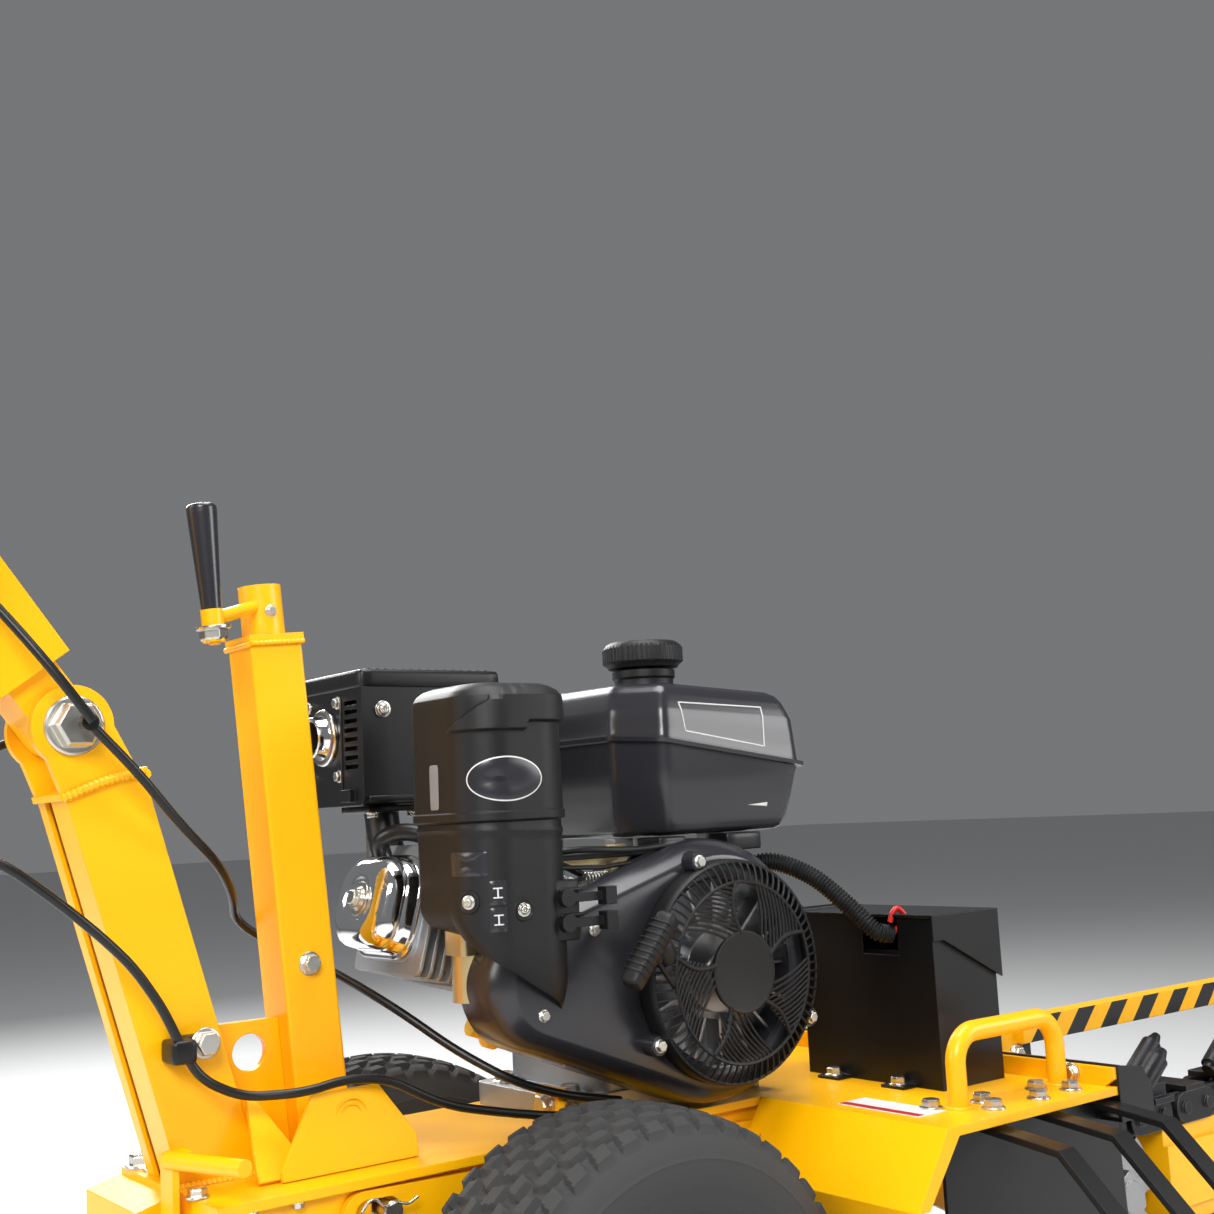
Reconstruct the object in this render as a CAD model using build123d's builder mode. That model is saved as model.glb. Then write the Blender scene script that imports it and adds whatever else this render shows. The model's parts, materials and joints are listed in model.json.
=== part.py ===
from build123d import *
from math import asin, atan2, cos, degrees, hypot, pi, radians, sin, tan
import os

# Walk-behind chain trencher, in millimetres.
# Frame: origin on the ground under the middle of the wheel axle, +X towards the digging boom,
# +Y to the operator's left, +Z up.

# ---------------------------------------------------------------- driving dimensions
TYRE_R = 205.0           # rolling radius of the drive tyres
TYRE_W = 165.0           # tyre section width
TRACK = 432.0            # distance between the tyres' middle planes
RIM_R = 101.6            # bead seat radius of the 8 inch rims
AXLE_R = 12.7
DECK_TOP = 371.0         # height of the deck's upper face
PLATE = 8.0              # thickness of the deck and the front plate
DECK_REAR = -330.0
DECK_FRONT = 242.0       # joint between deck and front plate
DECK_NEAR = -128.0
DECK_FAR = 85.0
FRONT_END = 492.0        # front edge of the front plate
FRONT_NEAR = -370.0
FRONT_FAR = 178.0
RAIL_H = 50.0
RAIL_W = 30.0
RAIL_WALL = 3.0
RAIL_NEAR = -103.0       # middle plane of the right-hand rail
RAIL_FAR = 60.0
RUN = 0.05               # radial running clearance of shafts in bores
GAP = 0.4                # clearance between pieces that slide past each other

JACK_LEAN = 5.0          # the jack column leans back by this many degrees
JACK_X = -183.0          # column's middle at deck height
JACK_TUBE = 50.8
JACK_WALL = 3.0
JACK_TOP = 829.0
CRANK_REACH = 98.0
SCREW_R = 9.0

ARM_PIVOT_X = 252.0      # pivot of the wheel arms, under the front end of the deck
ARM_PIVOT_Z = 330.0
ARM_T = 7.0
PIN_R = 8.0
LEG_PIN_Z = 342.0

HANDLE_LEAN = 16.2
HANDLE_X = -288.0        # handle column's middle at deck height
HANDLE_W = 76.0          # along Y
HANDLE_D = 68.0          # along X
HANDLE_WALL = 4.0
HANDLE_TOP = 708.0
PIVOT_X = -411.0         # handle hinge bolt
PIVOT_Z = 753.0
EAR_R = 34.0
EAR_T = 9.0
PIVOT_R = 10.0
UPPER_LEAN = 36.5        # upper handle tube, from vertical
UPPER_LENGTH = 330.0
BAR_SPAN = 560.0         # across the handlebar grips
BAR_R = 14.0
GRIP_R = 18.0
GRIP_LENGTH = 125.0

TIE_HOLE_R = 16.0        # tie-down eye
TIE_T = 8.0
TIE_X = -247.0
TIE_Z = 467.0

ENGINE_X = 177.0         # crankshaft axis
ENGINE_Z = 503.0
CRANK_R = 14.0
CYL_TILT = 16.0          # cylinder axis above horizontal, towards the operator

HEAD_X = 562.0           # headshaft axis
HEAD_Z = 247.0
HEAD_R = 16.0
BOOM_Y = -290.0          # middle plane of the digging chain
PITCH = 41.91            # chain pitch
SPROCKET_TEETH = 10
RUN_LINKS = 15           # links along each straight run
BUSH_R = 12.0
LINK_PIN_R = 6.5
PLATE_HALF = 16.0        # half height of a link plate
PLATE_T = 5.0
INNER_HALF = 15.0        # inner plates start this far from the middle plane
TOOTH_REACH = 60.0       # tooth tip above the pin line
TOOTH_STEP = 2           # one tooth station on every second link
CHAIN_R = PITCH / (2 * sin(pi / SPROCKET_TEETH))
BOOM_L = RUN_LINKS * PITCH
NOSE_X = HEAD_X + BOOM_L

BELT_Y0 = 196.0          # near face of the belts
BELT_W = 34.0
CLUTCH_R = 55.0
DRIVEN_R = 92.0
GUARD_Y0 = 182.0
GUARD_Y1 = 246.0
GUARD_MARGIN = 20.0
GUARD_WALL = 3.0

BATTERY_X0 = 371.0
BATTERY_X1 = 465.0
BATTERY_Y0 = -255.0
BATTERY_Y1 = -68.0
BATTERY_H = 168.0
BOX_WALL = 3.0

GAUGE_R = 100.0          # front gauge wheels
GAUGE_W = 50.0
GAUGE_X = 430.0

os.makedirs("parts", exist_ok=True)


def save(builder, name):
    """Labels a finished piece and writes it as one STEP file."""
    builder.part.label = name
    export_step(builder.part, "parts/" + name + ".step")


# ---------------------------------------------------------------- shapes used many times
def block(x0, x1, y0, y1, z0, z1, soft=0.0):
    """A box between two corners, its upright edges rounded by soft."""
    with BuildPart(mode=Mode.PRIVATE) as b:
        with Locations(((x0 + x1) / 2, (y0 + y1) / 2, (z0 + z1) / 2)):
            Box(abs(x1 - x0), abs(y1 - y0), abs(z1 - z0))
        if soft:
            fillet(b.edges().filter_by(Axis.Z), soft)
    return b.part


def slab(points, y0, y1):
    """A plate in the XZ plane with the outline points, between y0 and y1."""
    with BuildPart(mode=Mode.PRIVATE) as b:
        with BuildSketch(Plane.XZ.offset(-y1)):
            with BuildLine():
                Polyline(*points, close=True)
            make_face()
        extrude(amount=y1 - y0)
    return b.part


def bar(points, x0, x1):
    """A plate in the YZ plane with the outline points, between x0 and x1."""
    with BuildPart(mode=Mode.PRIVATE) as b:
        with BuildSketch(Plane.YZ.offset(x0)):
            with BuildLine():
                Polyline(*points, close=True)
            make_face()
        extrude(amount=x1 - x0)
    return b.part


def rod(start, end, radius):
    """A round bar from start to end."""
    a = Vector(*start)
    b = Vector(*end)
    with BuildPart(mode=Mode.PRIVATE) as r:
        with BuildSketch(Plane(origin=a, z_dir=b - a)):
            Circle(radius)
        extrude(amount=(b - a).length)
    return r.part


def disc_y(x, z, y0, y1, radius):
    """A round bar along Y."""
    return rod((x, y0, z), (x, y1, z), radius)


def hexagon(start, end, radius):
    """A hexagonal bar from start to end, radius to its corners."""
    a = Vector(*start)
    b = Vector(*end)
    with BuildPart(mode=Mode.PRIVATE) as h:
        with BuildSketch(Plane(origin=a, z_dir=b - a)):
            RegularPolygon(radius, 6)
        extrude(amount=(b - a).length)
    return h.part


def bolt(seat, direction, size, length, head=0.65):
    """A hexagon bolt: head and washer stand on seat, the shank runs against direction."""
    d = Vector(*direction).normalized()
    s = Vector(*seat)
    with BuildPart(mode=Mode.PRIVATE) as b:
        add(rod(s, s + d * (0.18 * size), 1.05 * size))
        add(hexagon(s + d * (0.18 * size), s + d * ((0.18 + head) * size), 0.92 * size))
        if length:
            add(rod(s - d * length, s + d * (0.1 * size), size / 2))
    return b.part


def tube_path(points, radius, bends):
    """A round tube along straight runs joined by arcs."""
    with BuildPart(mode=Mode.PRIVATE) as t:
        with BuildLine() as line:
            FilletPolyline(*points, radius=bends)
        with BuildSketch(Plane(origin=line.line @ 0, z_dir=line.line % 0)):
            Circle(radius)
        sweep()
    return t.part


def stadium(x0, z0, x1, z1, half, y0, y1):
    """A flat link outline round two points in the XZ plane."""
    turn = degrees(atan2(z1 - z0, x1 - x0))
    length = hypot(x1 - x0, z1 - z0)
    with BuildPart(mode=Mode.PRIVATE) as s:
        middle = Plane(origin=((x0 + x1) / 2, y1, (z0 + z1) / 2), z_dir=(0, -1, 0),
                       x_dir=(cos(radians(turn)), 0, sin(radians(turn))))
        with BuildSketch(middle):
            SlotCenterToCenter(length, 2 * half)
        extrude(amount=y1 - y0)
    return s.part


def hull_y(x0, z0, r0, x1, z1, r1, y0, y1):
    """The solid wrapped by a straight band round two circles in the XZ plane."""
    d = hypot(x1 - x0, z1 - z0)
    along = atan2(z1 - z0, x1 - x0)
    tilt = asin((r0 - r1) / d)
    points = []
    for side in (1, -1):
        a = along + side * (pi / 2 - tilt)
        first = (x0 + r0 * cos(a), z0 + r0 * sin(a))
        second = (x1 + r1 * cos(a), z1 + r1 * sin(a))
        points += [first, second] if side == 1 else [second, first]
    with BuildPart(mode=Mode.PRIVATE) as h:
        with BuildSketch(Plane.XZ.offset(-y1)):
            with BuildLine():
                Polyline(*points, close=True)
            make_face()
            with Locations((x0, z0)):
                Circle(r0)
            with Locations((x1, z1)):
                Circle(r1)
        extrude(amount=y1 - y0)
    return h.part


def leaning_plane(x, z, lean, y=0.0):
    """A plane whose normal leans back from vertical by lean degrees."""
    return Plane(origin=(x, y, z), x_dir=(cos(radians(lean)), 0, sin(radians(lean))),
                 z_dir=(-sin(radians(lean)), 0, cos(radians(lean))))


def jack_point(z):
    """The jack column's axis at height z."""
    return JACK_X - (z - DECK_TOP) * tan(radians(JACK_LEAN))


def handle_point(z):
    """The handle column's axis at height z."""
    return HANDLE_X - (z - DECK_TOP) * tan(radians(HANDLE_LEAN))


# ---------------------------------------------------------------- chassis
LEG_SIZE = JACK_TUBE - 2 * JACK_WALL - 2 * GAP
PLATE_BASE = DECK_TOP - PLATE
LEG_PIN_X = jack_point(LEG_PIN_Z)
LOCK_X = DECK_REAR - 11  # pivot of the lock lever
LOCK_Z = PLATE_BASE - 51
LOCK_PIN = 4.0
SLOT_OUT = 22.0          # the leg pin moves outward along the arm by less than this
ARM_NEAR = RAIL_NEAR - RAIL_W / 2 - 1.0 - ARM_T / 2
ARM_FAR = RAIL_FAR + RAIL_W / 2 + 1.0 + ARM_T / 2


def leg_passage(clear):
    """The space that the jack's leg needs through the deck."""
    size = LEG_SIZE + 2 * clear
    with BuildPart(mode=Mode.PRIVATE) as p:
        with BuildSketch(leaning_plane(jack_point(250), 250, JACK_LEAN)):
            Rectangle(size, size)
        extrude(amount=150)
    return p.part


def rail(y):
    """One box-section rail, under the deck and the front plate."""
    with BuildPart(mode=Mode.PRIVATE) as r:
        add(block(DECK_REAR + PLATE, FRONT_END - 14, y - RAIL_W / 2, y + RAIL_W / 2,
                  PLATE_BASE - RAIL_H, PLATE_BASE))
        add(block(DECK_REAR + PLATE - 1, FRONT_END, y - RAIL_W / 2 + RAIL_WALL, y + RAIL_W / 2 - RAIL_WALL,
                  PLATE_BASE - RAIL_H + RAIL_WALL, PLATE_BASE - RAIL_WALL), mode=Mode.SUBTRACT)
    return r.part


with BuildPart() as deck_frame:
    add(block(DECK_REAR, DECK_FRONT, DECK_NEAR, DECK_FAR, PLATE_BASE, DECK_TOP))
    for rail_y in (RAIL_NEAR, RAIL_FAR):
        add(rail(rail_y))
    add(block(DECK_REAR, DECK_REAR + PLATE, RAIL_NEAR - RAIL_W / 2, RAIL_FAR + RAIL_W / 2,
              PLATE_BASE - RAIL_H, PLATE_BASE))
    # cross tube between the rails, ahead of the wheels
    add(block(300, 330, RAIL_NEAR + RAIL_W / 2, RAIL_FAR - RAIL_W / 2, PLATE_BASE - RAIL_H, PLATE_BASE - 10))
    # brackets for the gauge wheel axle
    for bracket_y in (RAIL_NEAR, RAIL_FAR):
        add(slab([(GAUGE_X - 45, PLATE_BASE - RAIL_H), (GAUGE_X + 45, PLATE_BASE - RAIL_H),
                  (GAUGE_X + 20, GAUGE_R - 20), (GAUGE_X - 20, GAUGE_R - 20)], bracket_y - 4, bracket_y + 4))
        add(disc_y(GAUGE_X, GAUGE_R, bracket_y - 20, bracket_y + 20, PIN_R + RUN), mode=Mode.SUBTRACT)
    # folded bracket at the operator's end
    add(slab([(DECK_REAR - 30, DECK_TOP - 14), (DECK_REAR, DECK_TOP - 6), (DECK_REAR, PLATE_BASE - 70),
              (DECK_REAR - 30, PLATE_BASE - 70)], -32, -26))
    add(slab([(DECK_REAR - 30, DECK_TOP - 14), (DECK_REAR, DECK_TOP - 6), (DECK_REAR, PLATE_BASE - 70),
              (DECK_REAR - 30, PLATE_BASE - 70)], 82, 88))
    add(block(DECK_REAR - 30, DECK_REAR - 24, -32, 88, PLATE_BASE - 70, DECK_TOP - 16))
    add(slab([(DECK_REAR - 30, DECK_TOP - 14), (DECK_REAR, DECK_TOP - 6), (DECK_REAR, DECK_TOP - 12),
              (DECK_REAR - 30, DECK_TOP - 20)], -32, 88))
    add(block(DECK_REAR, DECK_REAR + PLATE, -32, 88, PLATE_BASE - 70, PLATE_BASE))
    add(leg_passage(1.5), mode=Mode.SUBTRACT)
    # notches that let the leg pin travel down through the rails
    add(block(LEG_PIN_X - PIN_R - 3, LEG_PIN_X + PIN_R + 7, DECK_NEAR, DECK_FAR - 8, PLATE_BASE - RAIL_H - 5,
              LEG_PIN_Z + PIN_R + 3), mode=Mode.SUBTRACT)
    # ears for the lock lever's pin, behind the folded bracket
    for ear_y in (-75, -41):
        add(block(LOCK_X - 9, DECK_REAR, ear_y - 3, ear_y + 3, LOCK_Z - 12, LOCK_Z + 12))
    add(block(DECK_REAR, DECK_REAR + PLATE, -120, RAIL_NEAR, PLATE_BASE - RAIL_H - 14, PLATE_BASE))
    add(block(DECK_REAR, DECK_REAR + PLATE, -100, -30, PLATE_BASE - RAIL_H - 14, PLATE_BASE))
    add(disc_y(LOCK_X, LOCK_Z, -90, -30, LOCK_PIN + RUN), mode=Mode.SUBTRACT)
    # engine adjuster tab
    add(block(18, 25, -96, -58, DECK_TOP, DECK_TOP + 36))
    add(rod((0, -77, DECK_TOP + 20), (50, -77, DECK_TOP + 20), 5 + RUN), mode=Mode.SUBTRACT)
    # pivot bores of the wheel arms
    add(rod((ARM_PIVOT_X, -160, ARM_PIVOT_Z), (ARM_PIVOT_X, 120, ARM_PIVOT_Z), PIN_R + RUN), mode=Mode.SUBTRACT)
save(deck_frame, "deck_frame")

CREASE = (DECK_FRONT - 45, DECK_TOP - 64)      # lower crease of the fender
FENDER_END = (DECK_FRONT - 36, DECK_TOP - 86)


def fender(y0, y1):
    """The panel that folds down behind the front plate, over the tyre."""
    t = 4.0
    outline = [(DECK_FRONT, DECK_TOP), CREASE, FENDER_END, (FENDER_END[0] + t, FENDER_END[1]),
               (CREASE[0] + t + 1, CREASE[1]), (DECK_FRONT + t, DECK_TOP - PLATE)]
    return slab(outline, y0, y1)


with BuildPart() as front_plate:
    add(block(DECK_FRONT, FRONT_END, FRONT_NEAR, FRONT_FAR, PLATE_BASE, DECK_TOP))
    add(fender(FRONT_NEAR, DECK_NEAR - 2))
    add(fender(DECK_FAR + 2, FRONT_FAR))
    # return flange at the near end of the fender
    add(slab([(DECK_FRONT, DECK_TOP), CREASE, (CREASE[0] + 14, CREASE[1]), (DECK_FRONT + 14, PLATE_BASE)],
             FRONT_NEAR, FRONT_NEAR + 4))
    # upturned front flange with its corner cut off
    add(bar([(FRONT_NEAR + 10, DECK_TOP), (FRONT_FAR, DECK_TOP), (FRONT_FAR, DECK_TOP + 18),
             (FRONT_NEAR, DECK_TOP + 18), (FRONT_NEAR, DECK_TOP + 7)], FRONT_END - 6, FRONT_END))
save(front_plate, "front_plate")

LOOP_X = (318.0, 468.0)
LOOP_Y = -318.0
LOOP_TOP = DECK_TOP + 67
LOOP_R = 9.5
with BuildPart() as grab_loop:
    add(tube_path([(LOOP_X[0], LOOP_Y, DECK_TOP), (LOOP_X[0], LOOP_Y, LOOP_TOP),
                   (LOOP_X[1], LOOP_Y, LOOP_TOP), (LOOP_X[1], LOOP_Y, DECK_TOP)], LOOP_R, 28.0))
save(grab_loop, "grab_loop")

GUARD_BARS_X = (320.0, 400.0, 477.0)
BAR_T = 6.0
BAR_HALF = 11.0
HOUSING_Y = -345.0
BEND = (-434.0, DECK_TOP - 21)
KNEE = (-520.0, DECK_TOP - 107)
SHOE_Z = 140.0


def guard_strip(x):
    """One flat bar: out from the housing, down at 45 degrees, then upright."""
    outer = [(HOUSING_Y, PLATE_BASE - 2), BEND, KNEE, (KNEE[0], SHOE_Z)]
    inner = [(KNEE[0] + BAR_T, SHOE_Z), (KNEE[0] + BAR_T, KNEE[1] - 2.5),
             (BEND[0] + 2.5, BEND[1] - BAR_T), (HOUSING_Y, PLATE_BASE - 2 - BAR_T)]
    return bar(outer + inner, x - BAR_HALF, x + BAR_HALF)


with BuildPart() as guard_bars:
    for strip_x in GUARD_BARS_X:
        add(guard_strip(strip_x))
    add(block(GUARD_BARS_X[0] - 25, GUARD_BARS_X[2] + 25, KNEE[0], KNEE[0] + BAR_T, SHOE_Z - 24, SHOE_Z))
save(guard_bars, "guard_bars")

SIDE_T = 4.0
with BuildPart() as chain_housing:
    # side panel over the head sprocket
    add(slab([(262, PLATE_BASE), (FRONT_END, PLATE_BASE), (522, PLATE_BASE - 26), (530, 150), (300, 150),
              (262, 230)], HOUSING_Y, HOUSING_Y + SIDE_T))
    # shield behind the front flange, above the swept circle of the teeth
    add(block(FRONT_END, FRONT_END + SIDE_T, FRONT_NEAR - 2, FRONT_FAR, PLATE_BASE - 6, DECK_TOP + 20))
    # ear that turns forward at the near end
    add(slab([(FRONT_END, DECK_TOP - 34), (FRONT_END + 55, DECK_TOP - 34), (FRONT_END + 53, DECK_TOP - 4),
              (FRONT_END + 40, DECK_TOP + 14), (FRONT_END, DECK_TOP + 20)], FRONT_NEAR - 2, FRONT_NEAR + 2))
    add(block(FRONT_END, FRONT_END + 55, FRONT_NEAR - 2, HOUSING_Y + SIDE_T, DECK_TOP - 34, DECK_TOP - 30))
save(chain_housing, "chain_housing")

HAZARD_Y = -215.0
HAZARD_END = 1120.0
with BuildPart() as hazard_bar:
    add(block(FRONT_END + SIDE_T, FRONT_END + SIDE_T + 62, HAZARD_Y - 3, HAZARD_Y + 3, DECK_TOP - 4, DECK_TOP + 50))
    add(block(FRONT_END + SIDE_T, FRONT_END + SIDE_T + 6, HAZARD_Y - 25, HAZARD_Y + 25, PLATE_BASE, DECK_TOP + 20))
    add(block(FRONT_END + SIDE_T + 40, HAZARD_END, HAZARD_Y - 12, HAZARD_Y - 3, DECK_TOP + 22, DECK_TOP + 48))
    add(block(FRONT_END + SIDE_T + 40, HAZARD_END, HAZARD_Y - 3, HAZARD_Y + 12, DECK_TOP + 44, DECK_TOP + 48))
save(hazard_bar, "hazard_bar")

# ---------------------------------------------------------------- jack column and its crank
with BuildPart() as jack_column:
    with BuildSketch(leaning_plane(jack_point(DECK_TOP - 12), DECK_TOP - 12, JACK_LEAN)):
        RectangleRounded(JACK_TUBE, JACK_TUBE, 3)
        Rectangle(JACK_TUBE - 2 * JACK_WALL, JACK_TUBE - 2 * JACK_WALL, mode=Mode.SUBTRACT)
    extrude(amount=(JACK_TOP - DECK_TOP + 12) / cos(radians(JACK_LEAN)))
    with BuildSketch(leaning_plane(jack_point(JACK_TOP), JACK_TOP, JACK_LEAN)):
        Rectangle(JACK_TUBE + 3, JACK_TUBE + 3)
        Circle(SCREW_R + RUN, mode=Mode.SUBTRACT)
    extrude(amount=8)
    add(block(-400, 0, -60, 60, DECK_TOP - 60, DECK_TOP), mode=Mode.SUBTRACT)
save(jack_column, "jack_column")

AXIS = Vector(-sin(radians(JACK_LEAN)), 0, cos(radians(JACK_LEAN)))
FLAT = Vector(cos(radians(JACK_LEAN)), 0, sin(radians(JACK_LEAN)))
COLUMN_HEAD = Vector(jack_point(JACK_TOP), 0, JACK_TOP) + AXIS * 8
LEG_BOTTOM = Vector(jack_point(LEG_PIN_Z), 0, LEG_PIN_Z) - AXIS * 22
LEG_LENGTH = 300.0
with BuildPart() as jack_leg:
    with BuildSketch(Plane(origin=LEG_BOTTOM, x_dir=FLAT, z_dir=AXIS)):
        Rectangle(LEG_SIZE, LEG_SIZE)
        Circle(SCREW_R + 5, mode=Mode.SUBTRACT)
    extrude(amount=LEG_LENGTH)
    # nut at the leg's top, which rides on the screw
    with BuildSketch(Plane(origin=LEG_BOTTOM + AXIS * (LEG_LENGTH - 22), x_dir=FLAT, z_dir=AXIS)):
        Rectangle(LEG_SIZE - 2, LEG_SIZE - 2)
        Circle(SCREW_R + RUN, mode=Mode.SUBTRACT)
    extrude(amount=22)
    # pin across the leg's foot, which carries the ends of the wheel arms
    add(rod((LEG_PIN_X, ARM_NEAR - 12, LEG_PIN_Z), (LEG_PIN_X, ARM_FAR + 12, LEG_PIN_Z), PIN_R))
save(jack_leg, "jack_leg")

# the crank arm points back and to the right
ARM_DIR = FLAT * -0.77 + Vector(0, -0.638, 0)
ARM_ROOT = COLUMN_HEAD + AXIS * 30
ARM_DROP = 18            # the arm slopes down by this much
BOSS_TOP = 8.5
ARM_END = ARM_ROOT + ARM_DIR * CRANK_REACH - AXIS * ARM_DROP
with BuildPart() as crank_handle:
    add(rod(COLUMN_HEAD + AXIS * GAP, COLUMN_HEAD + AXIS * 47, 19.5))
    add(rod(COLUMN_HEAD - AXIS * 430, COLUMN_HEAD + AXIS * 10, SCREW_R))
    add(rod(ARM_ROOT, ARM_END, 6.0))
    add(rod(ARM_END - AXIS * 6, ARM_END + AXIS * BOSS_TOP, 9.5))
    add(rod(ARM_END - AXIS * 22, ARM_END + AXIS * 84, 5.0))
    add(hexagon(ARM_END - AXIS * 20, ARM_END - AXIS * 6, 10.5))
save(crank_handle, "crank_handle")

GRIP_FOOT = ARM_END + AXIS * (BOSS_TOP + GAP)
with BuildPart() as crank_grip:
    with BuildSketch(Plane(origin=GRIP_FOOT, z_dir=AXIS)):
        Circle(8.5)
    with BuildSketch(Plane(origin=GRIP_FOOT + AXIS * 84, z_dir=AXIS)):
        Circle(13.0)
    loft()
    with BuildSketch(Plane(origin=GRIP_FOOT + AXIS * 84, z_dir=AXIS)):
        Circle(13.0)
    extrude(amount=8)
    fillet(crank_grip.edges().sort_by(Axis.Z)[-1], 4)
    with BuildSketch(Plane(origin=GRIP_FOOT, z_dir=AXIS)):
        Circle(5.0 + RUN)
    extrude(amount=81, mode=Mode.SUBTRACT)
save(crank_grip, "crank_grip")


# ---------------------------------------------------------------- gussets and the tie-down eye
def gusset(x0, x1, x2, x3, y_top, y_foot, z_top, thick=5.0):
    """A sloping brace: x0..x1 at the foot on the deck, x2..x3 at the top against a column."""
    slope = Vector(0, y_top - y_foot, z_top - DECK_TOP)
    height = slope.length
    sign = 1 if y_top > y_foot else -1
    normal = Vector(1, 0, 0).cross(slope).normalized() * sign
    face = Plane(origin=(0, y_foot, DECK_TOP), x_dir=(1, 0, 0), z_dir=normal)
    up = sign * height
    with BuildPart(mode=Mode.PRIVATE) as g:
        with BuildSketch(face):
            with BuildLine():
                Polyline((x0, 0), (x0, 0.12 * up), (x2, up), (x3, up), (x1, 0.3 * up), (x1, 0), close=True)
            make_face()
        extrude(amount=thick)
        add(block(x0 - 60, x1 + 60, -200, 200, DECK_TOP - 40, DECK_TOP), mode=Mode.SUBTRACT)
    return g.part


JACK_FACE = JACK_TUBE / 2
HANDLE_FACE = HANDLE_W / 2
BRACE_FOOT_Y = -87.0
BRACE_TOP_Y = -75.0
BRACE_TOP = DECK_TOP + 65
BRACE_PLUG = (JACK_X - 7, DECK_TOP + 43)
with BuildPart() as column_gussets:
    for side in (-1, 1):
        brace_y = side * (HANDLE_FACE + 44) if side < 0 else HANDLE_FACE + 40
        add(gusset(HANDLE_X + 12, HANDLE_X + 50, HANDLE_X + 20, HANDLE_X + 24, side * (HANDLE_FACE + 0.2),
                   brace_y, DECK_TOP + 66))
    # near brace of the jack column: a plate that stands off on a web and a plug-welded spacer
    add(gusset(JACK_X - 75, JACK_X + 53, JACK_X - 41, JACK_X + 21, BRACE_TOP_Y, BRACE_FOOT_Y, BRACE_TOP))
    add(disc_y(BRACE_PLUG[0], BRACE_PLUG[1], BRACE_TOP_Y - 2, -JACK_FACE + 5, 11))
    add(block(JACK_X - 7, JACK_X - 2, BRACE_TOP_Y, -JACK_FACE + 5, DECK_TOP, BRACE_TOP - 12))
    add(gusset(JACK_X - 66, JACK_X + 66, JACK_X - 40, JACK_X + 24, JACK_FACE + 0.2, JACK_FACE + 52,
               DECK_TOP + 72))
    add(slab([(TIE_X - 34, DECK_TOP), (TIE_X + 48, DECK_TOP), (TIE_X + 34, TIE_Z + 27), (TIE_X - 44, TIE_Z + 27)],
             -TIE_T / 2, TIE_T / 2))
    add(disc_y(TIE_X, TIE_Z, -20, 20, TIE_HOLE_R), mode=Mode.SUBTRACT)
    with BuildSketch(leaning_plane(jack_point(DECK_TOP - 30), DECK_TOP - 30, JACK_LEAN)):
        Rectangle(JACK_TUBE + 0.2, JACK_TUBE + 0.2)
    extrude(amount=500, mode=Mode.SUBTRACT)
    with BuildSketch(leaning_plane(handle_point(DECK_TOP - 30), DECK_TOP - 30, HANDLE_LEAN)):
        Rectangle(HANDLE_D + 0.2, HANDLE_W + 0.2)
    extrude(amount=400, mode=Mode.SUBTRACT)
save(column_gussets, "column_gussets")

# ---------------------------------------------------------------- handle column and folding handle
PIVOT = Vector(PIVOT_X, 0, PIVOT_Z)
EAR_Y = HANDLE_FACE - EAR_T
with BuildPart() as handle_column:
    with BuildSketch(leaning_plane(handle_point(DECK_TOP - 20), DECK_TOP - 20, HANDLE_LEAN)):
        Rectangle(HANDLE_D, HANDLE_W)
        Rectangle(HANDLE_D - 2 * HANDLE_WALL, HANDLE_W - 2 * HANDLE_WALL, mode=Mode.SUBTRACT)
        with Locations((-HANDLE_D / 2, 12)):
            Rectangle(4 * HANDLE_WALL, 18, mode=Mode.SUBTRACT)
    extrude(amount=(HANDLE_TOP - DECK_TOP + 20) / cos(radians(HANDLE_LEAN)))
    add(block(-450, 0, -60, 60, DECK_TOP - 60, DECK_TOP), mode=Mode.SUBTRACT)
    with BuildSketch(leaning_plane(handle_point(HANDLE_TOP), HANDLE_TOP, HANDLE_LEAN)):
        Rectangle(HANDLE_D + 8, HANDLE_W)
    extrude(amount=-6)
    # clevis ears round the hinge bolt
    for ear in (-1, 1):
        low = min(ear * EAR_Y, ear * HANDLE_FACE)
        high = max(ear * EAR_Y, ear * HANDLE_FACE)
        top_x = handle_point(HANDLE_TOP)
        add(slab([(top_x - HANDLE_D / 2 + 2, HANDLE_TOP - 16), (top_x + HANDLE_D / 2 - 2, HANDLE_TOP + 2),
                  (PIVOT_X + EAR_R, PIVOT_Z), (PIVOT_X - EAR_R + 2, PIVOT_Z)], low, high))
        add(disc_y(PIVOT_X, PIVOT_Z, low, high, EAR_R))
    add(disc_y(PIVOT_X, PIVOT_Z, -80, 80, PIVOT_R + RUN), mode=Mode.SUBTRACT)
save(handle_column, "handle_column")

with BuildPart() as pivot_bolt:
    add(disc_y(PIVOT_X, PIVOT_Z, -HANDLE_FACE - 1, HANDLE_FACE + 14, PIVOT_R))
    add(bolt((PIVOT_X, -HANDLE_FACE, PIVOT_Z), (0, -1, 0), 2 * PIVOT_R, 0))
    add(hexagon((PIVOT_X, HANDLE_FACE, PIVOT_Z), (PIVOT_X, HANDLE_FACE + 12, PIVOT_Z), 1.75 * PIVOT_R))
save(pivot_bolt, "pivot_bolt")

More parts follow.
